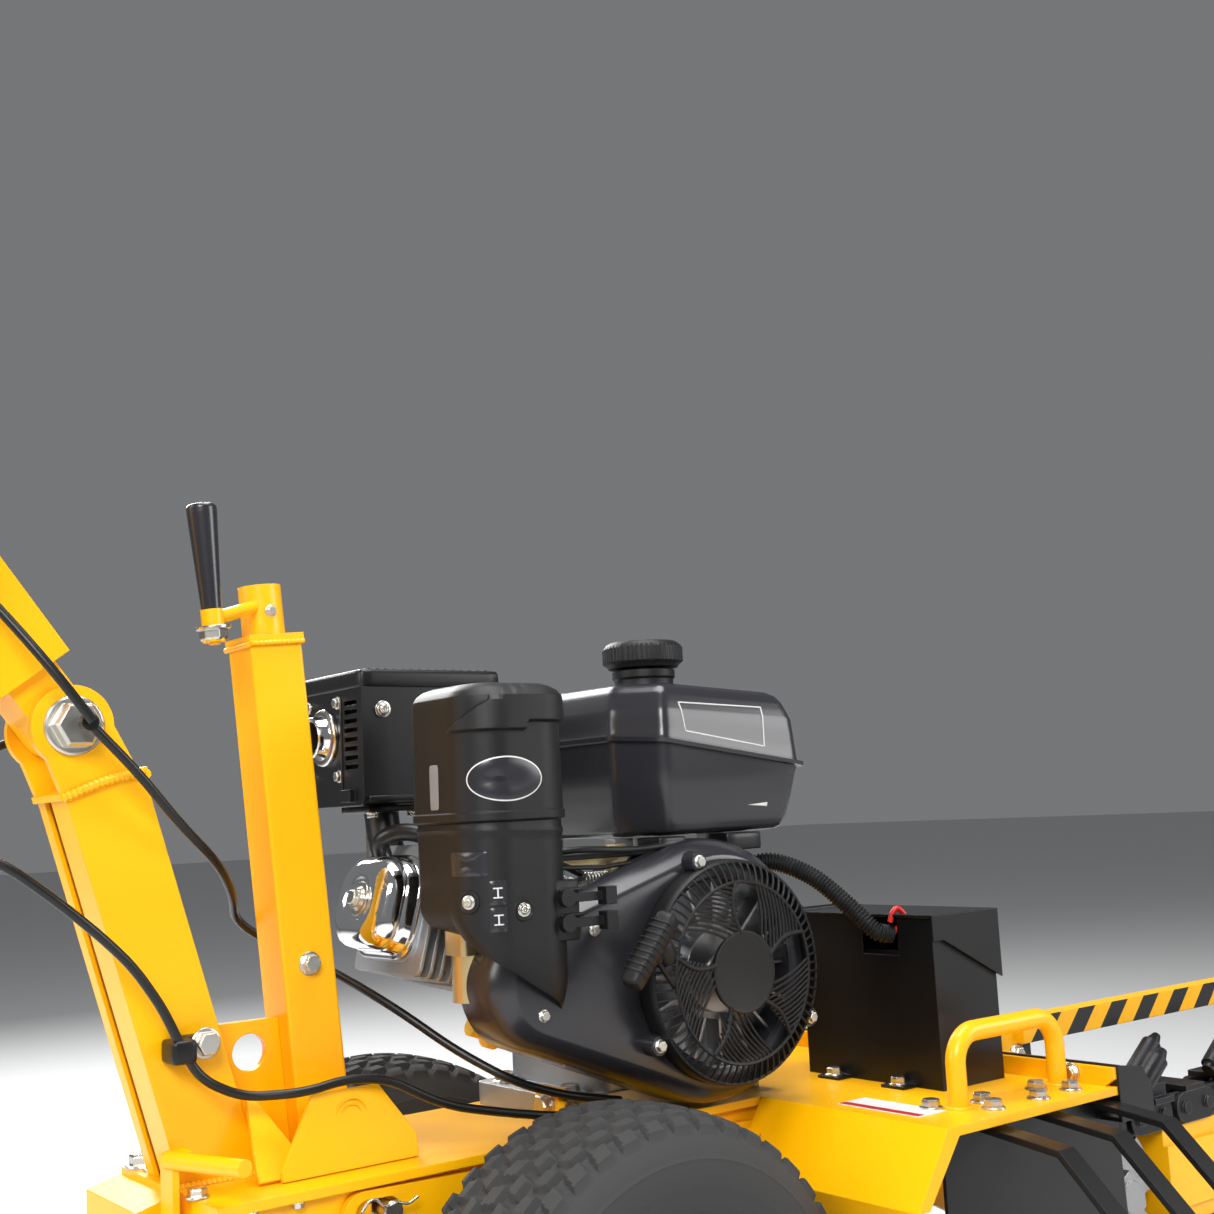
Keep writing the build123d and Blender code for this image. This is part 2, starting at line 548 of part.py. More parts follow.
BACK = Vector(-sin(radians(UPPER_LEAN)), 0, cos(radians(UPPER_LEAN)))
UPPER_X_DIR = (cos(radians(UPPER_LEAN)), 0, sin(radians(UPPER_LEAN)))
TONGUE_HALF = EAR_Y - GAP
BAR_CENTRE = PIVOT + BACK * UPPER_LENGTH
GRIP_END_X = BAR_CENTRE.X - 150
LEVER_AXIS = BAR_CENTRE + Vector(-26, 0, 30)
LEVER_R = 7.0
with BuildPart() as upper_handle:
    # tongue between the ears
    with BuildSketch(Plane(origin=PIVOT, x_dir=UPPER_X_DIR, z_dir=BACK)):
        Rectangle(46, 2 * TONGUE_HALF)
    extrude(amount=76)
    add(disc_y(PIVOT_X, PIVOT_Z, -TONGUE_HALF, TONGUE_HALF, 23))
    # box tube
    with BuildSketch(Plane(origin=PIVOT + BACK * 52, x_dir=UPPER_X_DIR, z_dir=BACK)):
        Rectangle(70, HANDLE_W)
    extrude(amount=UPPER_LENGTH - 52)
    # stop tab under the tube
    with BuildSketch(Plane(origin=PIVOT + BACK * 50, x_dir=UPPER_X_DIR, z_dir=BACK)):
        with Locations((-50, 0)):
            Rectangle(32, 50)
    extrude(amount=46)
    add(disc_y(PIVOT_X, PIVOT_Z, -80, 80, PIVOT_R + RUN), mode=Mode.SUBTRACT)
    # handlebar: across, then back to the grips
    half = BAR_SPAN / 2
    add(tube_path([(GRIP_END_X + 8, -half, BAR_CENTRE.Z + 12), (BAR_CENTRE.X, -half, BAR_CENTRE.Z),
                   (BAR_CENTRE.X, half, BAR_CENTRE.Z), (GRIP_END_X + 8, half, BAR_CENTRE.Z + 12)],
                  BAR_R, 60.0))
    # brackets for the clutch lever and the throttle lever
    for bracket_y in (-196, -138, 88):
        add(slab([(BAR_CENTRE.X - 10, BAR_CENTRE.Z), (BAR_CENTRE.X + 10, BAR_CENTRE.Z),
                  (LEVER_AXIS.X + 12, LEVER_AXIS.Z + 4), (LEVER_AXIS.X, LEVER_AXIS.Z + 13),
                  (LEVER_AXIS.X - 12, LEVER_AXIS.Z - 4)], bracket_y, bracket_y + 6))
    add(disc_y(LEVER_AXIS.X, LEVER_AXIS.Z, -220, -100, LEVER_R + RUN), mode=Mode.SUBTRACT)
    add(disc_y(LEVER_AXIS.X, LEVER_AXIS.Z, 88, 110, 5))
save(upper_handle, "upper_handle")

GRIP_DIR = (Vector(GRIP_END_X + 8, 0, BAR_CENTRE.Z + 12) - Vector(BAR_CENTRE.X, 0, BAR_CENTRE.Z)).normalized()
with BuildPart() as hand_grips:
    for hand in (-1, 1):
        tip = Vector(GRIP_END_X + 8, hand * BAR_SPAN / 2, BAR_CENTRE.Z + 12)
        heel = tip - GRIP_DIR * (GRIP_LENGTH - 50)
        add(rod(heel, tip + GRIP_DIR * 6, GRIP_R))
        add(rod(heel, tip, BAR_R), mode=Mode.SUBTRACT)
save(hand_grips, "hand_grips")

# ---------------------------------------------------------------- lock lever
with BuildPart() as lock_lever:
    add(slab([(LOCK_X + 3, LOCK_Z), (LOCK_X + 3, DECK_TOP + 26), (LOCK_X + 14, DECK_TOP + 30),
              (LOCK_X + 14, DECK_TOP + 36), (LOCK_X - 3, DECK_TOP + 32), (LOCK_X - 3, LOCK_Z)], -71, -45))
    add(disc_y(LOCK_X, LOCK_Z, -71, -45, 8))
    add(disc_y(LOCK_X, LOCK_Z, -90, -30, LOCK_PIN + RUN), mode=Mode.SUBTRACT)
    add(rod((LOCK_X - 2, -60, DECK_TOP + 29), (LOCK_X + 23, -154, DECK_TOP + 32), 7))
save(lock_lever, "lock_lever")

# ---------------------------------------------------------------- wheels, arms and transaxle
SLOT_HALF = PIN_R + 2.6
ARM_DX = LEG_PIN_X - ARM_PIVOT_X
ARM_DZ = LEG_PIN_Z - ARM_PIVOT_Z
ARM_LENGTH = hypot(ARM_DX, ARM_DZ)


def along_arm(distance):
    """The point of an arm's middle line at this distance from the pivot."""
    return ARM_PIVOT_X + ARM_DX * distance / ARM_LENGTH, ARM_PIVOT_Z + ARM_DZ * distance / ARM_LENGTH


with BuildPart() as wheel_arm:
    tail = along_arm(ARM_LENGTH + SLOT_OUT)
    for arm_y in (ARM_NEAR, ARM_FAR):
        y0 = arm_y - ARM_T / 2
        y1 = arm_y + ARM_T / 2
        add(stadium(ARM_PIVOT_X, ARM_PIVOT_Z, tail[0], tail[1] - 1, 19, y0, y1))
        add(slab([(-75, ARM_PIVOT_Z), (105, ARM_PIVOT_Z), (34, TYRE_R), (-34, TYRE_R)], y0, y1))
        add(disc_y(0, TYRE_R, y0, y1, 34))
    add(block(-50, 50, ARM_NEAR, ARM_FAR, TYRE_R + 70, TYRE_R + 78))
    for arm_y in (ARM_NEAR, ARM_FAR):
        y0 = arm_y - ARM_T
        y1 = arm_y + ARM_T
        first = along_arm(ARM_LENGTH - 1)
        last = along_arm(ARM_LENGTH + SLOT_OUT - 3)
        add(stadium(*first, *last, SLOT_HALF, y0, y1), mode=Mode.SUBTRACT)
        add(disc_y(ARM_PIVOT_X, ARM_PIVOT_Z, y0, y1, PIN_R + RUN), mode=Mode.SUBTRACT)
        add(disc_y(0, TYRE_R, y0, y1, AXLE_R + RUN), mode=Mode.SUBTRACT)
save(wheel_arm, "wheel_arm")

with BuildPart() as transaxle:
    add(hull_y(0, TYRE_R, 56, 62, TYRE_R + 22, 34, -60, 30))
    add(hull_y(0, TYRE_R, 64, 62, TYRE_R + 22, 42, -18, -8))
    add(block(-40, 40, -50, 20, TYRE_R + 30, TYRE_R + 70, 8))
    add(disc_y(62, TYRE_R + 22, 30, 46, 12))
    add(disc_y(0, TYRE_R, -62, -14, AXLE_R + RUN), mode=Mode.SUBTRACT)
    add(disc_y(0, TYRE_R, -2, 32, AXLE_R + RUN), mode=Mode.SUBTRACT)
save(transaxle, "transaxle")


def turned(profile, y, z=TYRE_R, x=0.0):
    """Turns a closed profile of (distance along Y, radius) points round an axle through (x, z)."""
    with BuildPart(mode=Mode.PRIVATE) as t:
        with BuildSketch(Plane(origin=(x, y, z), x_dir=(0, 1, 0), z_dir=(1, 0, 0))):
            with BuildLine():
                Polyline(*profile, close=True)
            make_face()
        revolve(axis=Axis((x, y, z), (0, 1, 0)))
    return t.part


def rim(side):
    """A two-flange rim with a dished disc, hub and its half of the axle."""
    y = side * TRACK / 2
    half = TYRE_W / 2 - 18
    shell = [(-half, RIM_R + 10), (-half + 3, RIM_R + 10), (-half + 4, RIM_R - 2), (-half + 26, RIM_R - 3),
             (-half + 34, RIM_R - 16), (half - 34, RIM_R - 16), (half - 26, RIM_R - 3), (half - 4, RIM_R - 2),
             (half - 3, RIM_R + 10), (half, RIM_R + 10), (half, RIM_R - 4), (half - 24, RIM_R - 7),
             (half - 32, RIM_R - 20), (-half + 32, RIM_R - 20), (-half + 24, RIM_R - 7), (-half, RIM_R - 4)]
    disc = [(14, 24), (18, 24), (24, 60), (12, RIM_R - 19), (8, RIM_R - 19), (20, 60)]
    with BuildPart(mode=Mode.PRIVATE) as r:
        add(turned(shell, y))
        add(turned([(side * d, radius) for d, radius in disc], y))
        add(disc_y(0, TYRE_R, min(y - side * 74, y + side * 34), max(y - side * 74, y + side * 34), 28))
        inner = -17 if side < 0 else 0
        add(disc_y(0, TYRE_R, min(inner, y + side * 44), max(inner, y + side * 44), AXLE_R))
        with Locations(Plane(origin=(0, y + side * 16, TYRE_R), z_dir=(0, side, 0))):
            with PolarLocations(44, 5):
                Cylinder(6, 26)
    return r.part


def tyre(side):
    """A hollow pneumatic tyre on a rim."""
    y = side * TRACK / 2
    w = TYRE_W / 2
    half = w - 22.7
    outer = [(-half, RIM_R - 1.5), (-half + 0, RIM_R + 12), (-w + 6, RIM_R + 28), (-w, RIM_R + 52),
             (-w + 3, TYRE_R - 28), (-w + 14, TYRE_R - 12), (-w + 32, TYRE_R - 3), (0, TYRE_R),
             (w - 32, TYRE_R - 3), (w - 14, TYRE_R - 12), (w - 3, TYRE_R - 28), (w, RIM_R + 52),
             (w - 6, RIM_R + 28), (half, RIM_R + 12), (half, RIM_R - 1.5)]
    inner = [(half - 12, RIM_R - 1.5), (half - 10, RIM_R + 14), (w - 16, RIM_R + 32), (w - 11, RIM_R + 54),
             (w - 16, TYRE_R - 30), (w - 34, TYRE_R - 16), (0, TYRE_R - 14), (-w + 34, TYRE_R - 16),
             (-w + 16, TYRE_R - 30), (-w + 11, RIM_R + 54), (-w + 16, RIM_R + 32), (-half + 10, RIM_R + 14),
             (-half + 12, RIM_R - 1.5)]
    return turned(outer + inner, y)


with BuildPart() as right_rim:
    add(rim(-1))
save(right_rim, "right_rim")

with BuildPart() as left_rim:
    add(rim(1))
save(left_rim, "left_rim")

with BuildPart() as right_tyre:
    add(tyre(-1))
save(right_tyre, "right_tyre")

with BuildPart() as left_tyre:
    add(tyre(1))
save(left_tyre, "left_tyre")

GAUGE_NEAR = RAIL_NEAR - 62
GAUGE_FAR = RAIL_FAR + 60
with BuildPart() as gauge_wheels:
    add(disc_y(GAUGE_X, GAUGE_R, GAUGE_NEAR - 30, GAUGE_FAR + 30, PIN_R))
    for wheel_y in (GAUGE_NEAR, GAUGE_FAR):
        half = GAUGE_W / 2
        add(turned([(-half, GAUGE_R - 6), (-half + 6, GAUGE_R), (half - 6, GAUGE_R), (half, GAUGE_R - 6),
                    (half, 60), (8, 50), (8, 22), (half, 20), (half, 4), (-half, 4), (-half, 20), (-8, 22),
                    (-8, 50), (-half, 60)], wheel_y, GAUGE_R, GAUGE_X))
save(gauge_wheels, "gauge_wheels")

# ---------------------------------------------------------------- digging chain and its boom
TOP_Z = HEAD_Z + CHAIN_R
WRAP = 180.0 / (SPROCKET_TEETH / 2)
LINKS = 2 * RUN_LINKS + SPROCKET_TEETH


def pin(index):
    """Pin number index of the chain: along the top, round the nose, back below, round the head."""
    k = index % LINKS
    if k <= RUN_LINKS:
        return HEAD_X + k * PITCH, TOP_Z
    k -= RUN_LINKS
    if k <= SPROCKET_TEETH / 2:
        a = radians(90 - k * WRAP)
        return NOSE_X + CHAIN_R * cos(a), HEAD_Z + CHAIN_R * sin(a)
    k -= SPROCKET_TEETH / 2
    if k <= RUN_LINKS:
        return NOSE_X - k * PITCH, HEAD_Z - CHAIN_R
    a = radians(270 - (k - RUN_LINKS) * WRAP)
    return HEAD_X + CHAIN_R * cos(a), HEAD_Z + CHAIN_R * sin(a)


INNER_END = INNER_HALF + PLATE_T
OUTER_START = INNER_END + 0.5
OUTER_END = OUTER_START + PLATE_T

with BuildPart() as chain_inner_links:
    for link in range(0, LINKS, 2):
        first = pin(link)
        second = pin(link + 1)
        for side in (-1, 1):
            y0 = BOOM_Y + min(side * INNER_HALF, side * INNER_END)
            add(stadium(*first, *second, PLATE_HALF, y0, y0 + PLATE_T))
        for point in (first, second):
            add(disc_y(*point, BOOM_Y - INNER_END, BOOM_Y + INNER_END, BUSH_R))
        for point in (first, second):
            add(disc_y(*point, BOOM_Y - INNER_END - 1, BOOM_Y + INNER_END + 1, LINK_PIN_R + 0.1),
                mode=Mode.SUBTRACT)
save(chain_inner_links, "chain_inner_links")

with BuildPart() as chain_outer_links:
    for link in range(1, LINKS, 2):
        first = pin(link)
        second = pin(link + 1)
        for side in (-1, 1):
            y0 = BOOM_Y + min(side * OUTER_START, side * OUTER_END)
            add(stadium(*first, *second, PLATE_HALF, y0, y0 + PLATE_T))
        for point in (first, second):
            add(disc_y(*point, BOOM_Y - OUTER_END - 3, BOOM_Y + OUTER_END + 3, LINK_PIN_R))
save(chain_outer_links, "chain_outer_links")

SIDE_STEPS = (-30.0, 32.0, -10.0, 20.0)
TOOTH_LEAN = 35.0


def tooth(link, shift):
    """A carrier plate across an outer link with a leaning, round-nosed digging bit."""
    first = Vector(pin(link)[0], BOOM_Y, pin(link)[1])
    second = Vector(pin(link + 1)[0], BOOM_Y, pin(link + 1)[1])
    along = (second - first).normalized()
    out = Vector(-along.Z, 0, along.X)
    middle = (first + second) * 0.5
    base = Plane(origin=middle + out * (PLATE_HALF + 3), x_dir=(0, 1, 0), z_dir=out)
    aim = along * cos(radians(TOOTH_LEAN)) + out * sin(radians(TOOTH_LEAN))
    heel = middle + out * (PLATE_HALF + 15) - along * 26 + Vector(0, shift, 0)
    low = min(-OUTER_END, shift - 13)
    high = max(OUTER_END, shift + 13)
    with BuildPart(mode=Mode.PRIVATE) as t:
        with BuildSketch(base):
            with Locations(((low + high) / 2, 0)):
                Rectangle(high - low, 34)
        extrude(amount=3, both=True)
        with BuildSketch(Plane(origin=middle + out * (PLATE_HALF + 3) + Vector(0, shift, 0), x_dir=(0, 1, 0),
                               z_dir=out)):
            Rectangle(9, 30)
        extrude(amount=16)
        add(rod(heel, heel + aim * 46, 11.0))
        add(rod(heel - aim * 7, heel, 7.5))
        with Locations(Plane(origin=heel + aim * 46, z_dir=aim)):
            Cone(9.0, 4.5, 14, align=(Align.CENTER, Align.CENTER, Align.MIN))
    return t.part


with BuildPart() as digging_teeth:
    for count, link in enumerate(range(1, LINKS, TOOTH_STEP)):
        add(tooth(link, SIDE_STEPS[count % len(SIDE_STEPS)]))
save(digging_teeth, "digging_teeth")

BAR_X0 = HEAD_X + CHAIN_R + 18
BAR_X1 = NOSE_X - 62
RIDE = CHAIN_R - BUSH_R - 0.8
with BuildPart() as boom_bar:
    add(block(BAR_X0, BAR_X1, BOOM_Y - 13, BOOM_Y + 13, HEAD_Z - RIDE, HEAD_Z + RIDE))
    add(block(BAR_X0, BAR_X1, BOOM_Y - 20, BOOM_Y + 20, HEAD_Z - 50, HEAD_Z + 50))
    add(block(BAR_X0, BAR_X1, BOOM_Y - 25, BOOM_Y + 25, HEAD_Z - 33, HEAD_Z + 33))
    # fork that holds the nose roller
    for side in (-1, 1):
        y0 = BOOM_Y + min(side * 15.5, side * 20)
        add(block(BAR_X1, NOSE_X, y0, y0 + 4.5, HEAD_Z - 40, HEAD_Z + 40))
        add(disc_y(NOSE_X, HEAD_Z, y0, y0 + 4.5, 40))
    add(disc_y(NOSE_X, HEAD_Z, BOOM_Y - 20, BOOM_Y + 20, 10))
    add(disc_y(NOSE_X, HEAD_Z, BOOM_Y - 24, BOOM_Y - 20, 14))
    add(disc_y(NOSE_X, HEAD_Z, BOOM_Y + 20, BOOM_Y + 24, 14))
    # spacer between the bar and its mounting plate
    add(block(BAR_X0 + 15, BAR_X0 + 120, BOOM_Y + 20, -255, HEAD_Z - 33, HEAD_Z + 33))
save(boom_bar, "boom_bar")

with BuildPart() as nose_roller:
    add(turned([(-14.5, 50), (-9, CHAIN_R - BUSH_R - 0.5), (9, CHAIN_R - BUSH_R - 0.5), (14.5, 50),
                (14.5, 10 + RUN), (-14.5, 10 + RUN)], BOOM_Y, HEAD_Z, NOSE_X))
save(nose_roller, "nose_roller")

CARRIER_NEAR = -243.0
CARRIER_FAR = 100.0
with BuildPart() as headshaft_carrier:
    add(disc_y(HEAD_X, HEAD_Z, CARRIER_NEAR, CARRIER_FAR, 32))
    for plate_y in (RAIL_NEAR - RAIL_W / 2 - 10, RAIL_FAR + RAIL_W / 2):
        add(slab([(300, PLATE_BASE - 1), (480, PLATE_BASE - 1), (HEAD_X + 46, HEAD_Z + 20),
                  (HEAD_X + 30, HEAD_Z - 40), (HEAD_X - 40, HEAD_Z - 44), (300, PLATE_BASE - RAIL_H)],
                 plate_y, plate_y + 10))
    add(disc_y(HEAD_X, HEAD_Z, CARRIER_NEAR - 12, CARRIER_NEAR, 48))
    add(block(HEAD_X, BAR_X0 + 120, CARRIER_NEAR - 12, CARRIER_NEAR, HEAD_Z - 38, HEAD_Z + 38))
    add(disc_y(HEAD_X, HEAD_Z, -300, 120, HEAD_R + RUN), mode=Mode.SUBTRACT)
save(headshaft_carrier, "headshaft_carrier")

with BuildPart() as head_sprocket:
    add(disc_y(HEAD_X, HEAD_Z, -328, BELT_Y0 + BELT_W + 10, HEAD_R))
    add(disc_y(HEAD_X, HEAD_Z, BOOM_Y - 12, -257, 34))
    add(disc_y(HEAD_X, HEAD_Z, BOOM_Y - 12, BOOM_Y + 12, CHAIN_R + 2))
    for seat in range(SPROCKET_TEETH):
        a = 2 * pi * seat / SPROCKET_TEETH + pi / 2
        add(disc_y(HEAD_X + CHAIN_R * cos(a), HEAD_Z + CHAIN_R * sin(a), BOOM_Y - 30, BOOM_Y + 30, BUSH_R + 0.4),
            mode=Mode.SUBTRACT)
    add(hexagon((HEAD_X, BOOM_Y - 36, HEAD_Z), (HEAD_X, BOOM_Y - 14, HEAD_Z), 26))
    add(disc_y(HEAD_X, HEAD_Z, -328, -257, HEAD_R))
save(head_sprocket, "head_sprocket")

# ---------------------------------------------------------------- belt drive
BELT_END = BELT_Y0 + BELT_W
with BuildPart() as belt_pulleys:
    for centre, radius, bore in (((ENGINE_X, ENGINE_Z), CLUTCH_R, CRANK_R), ((HEAD_X, HEAD_Z), DRIVEN_R, HEAD_R)):
        add(disc_y(*centre, BELT_Y0, BELT_END, radius - 9.5))
        add(disc_y(*centre, BELT_Y0, BELT_Y0 + 3, radius + 4))
        add(disc_y(*centre, BELT_END - 3, BELT_END, radius + 4))
        add(disc_y(*centre, BELT_Y0 - 10, BELT_END + 10, bore + RUN), mode=Mode.SUBTRACT)
save(belt_pulleys, "belt_pulleys")

with BuildPart() as drive_belt:
    add(hull_y(ENGINE_X, ENGINE_Z, CLUTCH_R, HEAD_X, HEAD_Z, DRIVEN_R, BELT_Y0 + 3.3, BELT_END - 3.3))
    add(hull_y(ENGINE_X, ENGINE_Z, CLUTCH_R - 9.4, HEAD_X, HEAD_Z, DRIVEN_R - 9.4, BELT_Y0, BELT_END),
        mode=Mode.SUBTRACT)
save(drive_belt, "drive_belt")

with BuildPart() as belt_guard:
    add(hull_y(ENGINE_X, ENGINE_Z, CLUTCH_R + GUARD_MARGIN, HEAD_X, HEAD_Z, DRIVEN_R + GUARD_MARGIN,
               GUARD_Y0, GUARD_Y1))
    add(hull_y(ENGINE_X, ENGINE_Z, CLUTCH_R + GUARD_MARGIN - GUARD_WALL, HEAD_X, HEAD_Z,
               DRIVEN_R + GUARD_MARGIN - GUARD_WALL, GUARD_Y0 - 1, GUARD_Y1 - GUARD_WALL), mode=Mode.SUBTRACT)
    # feet on the front plate and on the deck's edge
    add(block(300, 350, FRONT_FAR - 30, GUARD_Y0 + 6, DECK_TOP, DECK_TOP + 6))
    add(block(300, 350, GUARD_Y0, GUARD_Y0 + 6, DECK_TOP - 26, DECK_TOP + 6))
    add(block(ENGINE_X + 20, ENGINE_X + 64, DECK_FAR - 4, GUARD_Y0 + 2, DECK_TOP, DECK_TOP + 5))
    add(block(ENGINE_X + 20, ENGINE_X + 64, GUARD_Y0, GUARD_Y0 + 5, DECK_TOP, ENGINE_Z - 50))
    add(hull_y(ENGINE_X, ENGINE_Z, CLUTCH_R + 8, HEAD_X, HEAD_Z, DRIVEN_R + 8, GUARD_Y0 - 1, GUARD_Y1 - GUARD_WALL),
        mode=Mode.SUBTRACT)
save(belt_guard, "belt_guard")

# ---------------------------------------------------------------- engine
NEAR_FACE = -160.0       # outer face of the blower housing
TILT = radians(CYL_TILT)
CYL = Vector(-cos(TILT), 0, sin(TILT))
CENTRE = Vector(ENGINE_X, 0, ENGINE_Z)
FOOT_Z = DECK_TOP - ENGINE_Z


def eng(x0, x1, y0, y1, z0, z1, soft=0.0):
    """A box placed from the crankshaft's axis."""
    return block(ENGINE_X + x0, ENGINE_X + x1, y0, y1, ENGINE_Z + z0, ENGINE_Z + z1, soft)


def eng_rod(start, end, radius):
    """A round bar placed from the crankshaft's axis."""
    return rod(CENTRE + Vector(*start), CENTRE + Vector(*end), radius)


def cylinder_block(r0, r1, across, high, soft=8.0):
    """A slice of the cylinder, square to its axis, between r0 and r1 from the crankshaft."""
    with BuildPart(mode=Mode.PRIVATE) as c:
        with BuildSketch(Plane(origin=CENTRE + CYL * r0, x_dir=(0, 1, 0), z_dir=CYL)):
            RectangleRounded(across, high, soft)
        extrude(amount=r1 - r0)
    return c.part


AIR_X = -238.0
AIR_Y = -128.0


def air_body(z0, z1, grow=0.0):
    """A slice of the air cleaner: a box in plan with large corners at the near side."""
    x0 = ENGINE_X + AIR_X - 57 - grow
    x1 = ENGINE_X + AIR_X + 57 + grow
    with BuildPart(mode=Mode.PRIVATE) as a:
        add(block(x0, x1, AIR_Y - 55 - grow, AIR_Y + 55 + grow, ENGINE_Z + z0, ENGINE_Z + z1))
        near = a.edges().filter_by(Axis.Z).group_by(Axis.Y)[0]
        fillet(near, 40 + grow)
        far = a.edges().filter_by(Axis.Z).group_by(Axis.Y)[-1]
        fillet(far, 10)
    return a.part


with BuildPart() as engine_block:
    add(eng(-140, 106, -88, 80, FOOT_Z, FOOT_Z + 22, 10))
    add(eng(-104, 78, -84, 76, FOOT_Z + 20, 58, 18))
    add(disc_y(ENGINE_X, ENGINE_Z, 70, 96, 62))
    add(cylinder_block(70, 228, 96, 96, 20))
    for fin in range(11):
        add(cylinder_block(122 + 10 * fin, 125.5 + 10 * fin, 126, 126))
    add(eng_rod((-100, -20, -78), (-176, -20, -50), 12))
    for post_x in (-50, 72):
        for post_y in (-66, 56):
            add(eng(post_x - 12, post_x + 12, post_y - 8, post_y + 8, 50, 130.6))
    # inner walls that carry the blower housing
    add(eng(-60, -40, -92, -80, -70, -50))
    add(eng(40, 60, -92, -80, -60, -40))
    add(eng(20, 40, -92, -80, 36, 56))
    add(disc_y(ENGINE_X, ENGINE_Z, -120, 120, CRANK_R + RUN), mode=Mode.SUBTRACT)
save(engine_block, "engine_block")

with BuildPart() as cylinder_head:
    add(cylinder_block(228.2, 284, 100, 100, 16))
    for fin in range(5):
        add(cylinder_block(232 + 11 * fin, 235.5 + 11 * fin, 126, 122))
    # intake and exhaust ports
    add(rod(CENTRE + CYL * 256 + Vector(0, -45, 8), CENTRE + CYL * 256 + Vector(0, AIR_Y + 55.2, 8), 16))
    add(rod(CENTRE + CYL * 250 + Vector(0, 40, 30), CENTRE + CYL * 250 + Vector(0, 67.6, 30), 15))
save(cylinder_head, "cylinder_head")

with BuildPart() as valve_cover:
    add(cylinder_block(284.2, 288, 108, 96, 20))
    add(cylinder_block(284.2, 326, 92, 80, 26))
    add(rod(CENTRE + CYL * 320, CENTRE + CYL * 332, 12))
save(valve_cover, "valve_cover")

BLOWER_R = 128.0


def lever_panel(grow):
    """The block beside the air cleaner that carries the two small levers."""
    return eng(-226 - grow, -182 + grow, -178 - 13 * grow, -150 + grow, 46 - grow, 100 + grow, 4)


with BuildPart() as blower_housing:
    add(hull_y(ENGINE_X, ENGINE_Z, BLOWER_R, ENGINE_X - 196, ENGINE_Z + 8, 64, NEAR_FACE, -92))
    add(hull_y(ENGINE_X, ENGINE_Z, BLOWER_R - 3, ENGINE_X - 196, ENGINE_Z + 8, 61, NEAR_FACE + 3, -91),
        mode=Mode.SUBTRACT)
    add(disc_y(ENGINE_X, ENGINE_Z, NEAR_FACE - 1, NEAR_FACE + 4, 88), mode=Mode.SUBTRACT)
    add(air_body(-27, 160, 1.0), mode=Mode.SUBTRACT)
    add(lever_panel(1), mode=Mode.SUBTRACT)
save(blower_housing, "blower_housing")

with BuildPart() as crankshaft:
    add(disc_y(ENGINE_X, ENGINE_Z, -152, BELT_END + 8, CRANK_R))
    add(disc_y(ENGINE_X, ENGINE_Z, -128, -104, 98))
    add(disc_y(ENGINE_X, ENGINE_Z, -150, -128, 40))
    for blade in range(16):
        a = 2 * pi * blade / 16
        with BuildSketch(Plane(origin=(ENGINE_X, -128, ENGINE_Z), x_dir=(cos(a), 0, sin(a)), z_dir=(0, -1, 0))):
            with Locations((70, 0)):
                Rectangle(46, 3)
        extrude(amount=20)
    add(disc_y(ENGINE_X, ENGINE_Z, BELT_Y0 - 60, BELT_Y0 - 18, 40))
save(crankshaft, "crankshaft")

RECOIL_R = 107.0
RECOIL_Y = -190.0
ROPE_DIR = Vector(-0.7034, -0.35, 0.6188)
ROPE_LENGTH = 120.0
PULL = CENTRE + Vector(-129, -207, 33)
with BuildPart() as recoil_cover:
    add(disc_y(ENGINE_X, ENGINE_Z, RECOIL_Y, NEAR_FACE - 0.2, RECOIL_R))
    fillet(recoil_cover.edges().filter_by(GeomType.CIRCLE).sort_by(Axis.Y)[0], 9)
    add(disc_y(ENGINE_X, ENGINE_Z, RECOIL_Y + 3, NEAR_FACE, RECOIL_R - 3), mode=Mode.SUBTRACT)
    add(disc_y(ENGINE_X, ENGINE_Z, RECOIL_Y - 1, RECOIL_Y + 5, 80), mode=Mode.SUBTRACT)
    add(disc_y(ENGINE_X, ENGINE_Z, RECOIL_Y + 2, RECOIL_Y + 6, 82))
    # fan-shaped air slots in the grille
    for sector in range(5):
        a = 2 * pi * sector / 5 + pi / 2
        for step in range(6):
            b = a + radians(10) * (step - 2.5)
            with BuildSketch(Plane(origin=(ENGINE_X, RECOIL_Y, ENGINE_Z), x_dir=(cos(b), 0, sin(b)),
                                   z_dir=(0, -1, 0))):
                with Locations((57, 0)):
                    SlotOverall(34, 4.4)
            extrude(amount=-8, mode=Mode.SUBTRACT)
    # rope guide at the rim
    add(eng_rod((-76, -180, 18), (-104, -192, 34), 13))
    add(rod(PULL - ROPE_DIR * (ROPE_LENGTH + 12), PULL, 4.2), mode=Mode.SUBTRACT)
save(recoil_cover, "recoil_cover")

GRIP_BAR = Vector(-0.6605, 0, -0.7509)
with BuildPart() as pull_grip:
    with BuildSketch(Plane(origin=PULL - ROPE_DIR * 10, x_dir=GRIP_BAR, z_dir=ROPE_DIR)):
        RectangleRounded(78, 20, 6)
    extrude(amount=20)
    fillet(pull_grip.edges(), 2.5)
    add(rod(PULL, PULL - ROPE_DIR * ROPE_LENGTH, 2.6))
save(pull_grip, "pull_grip")

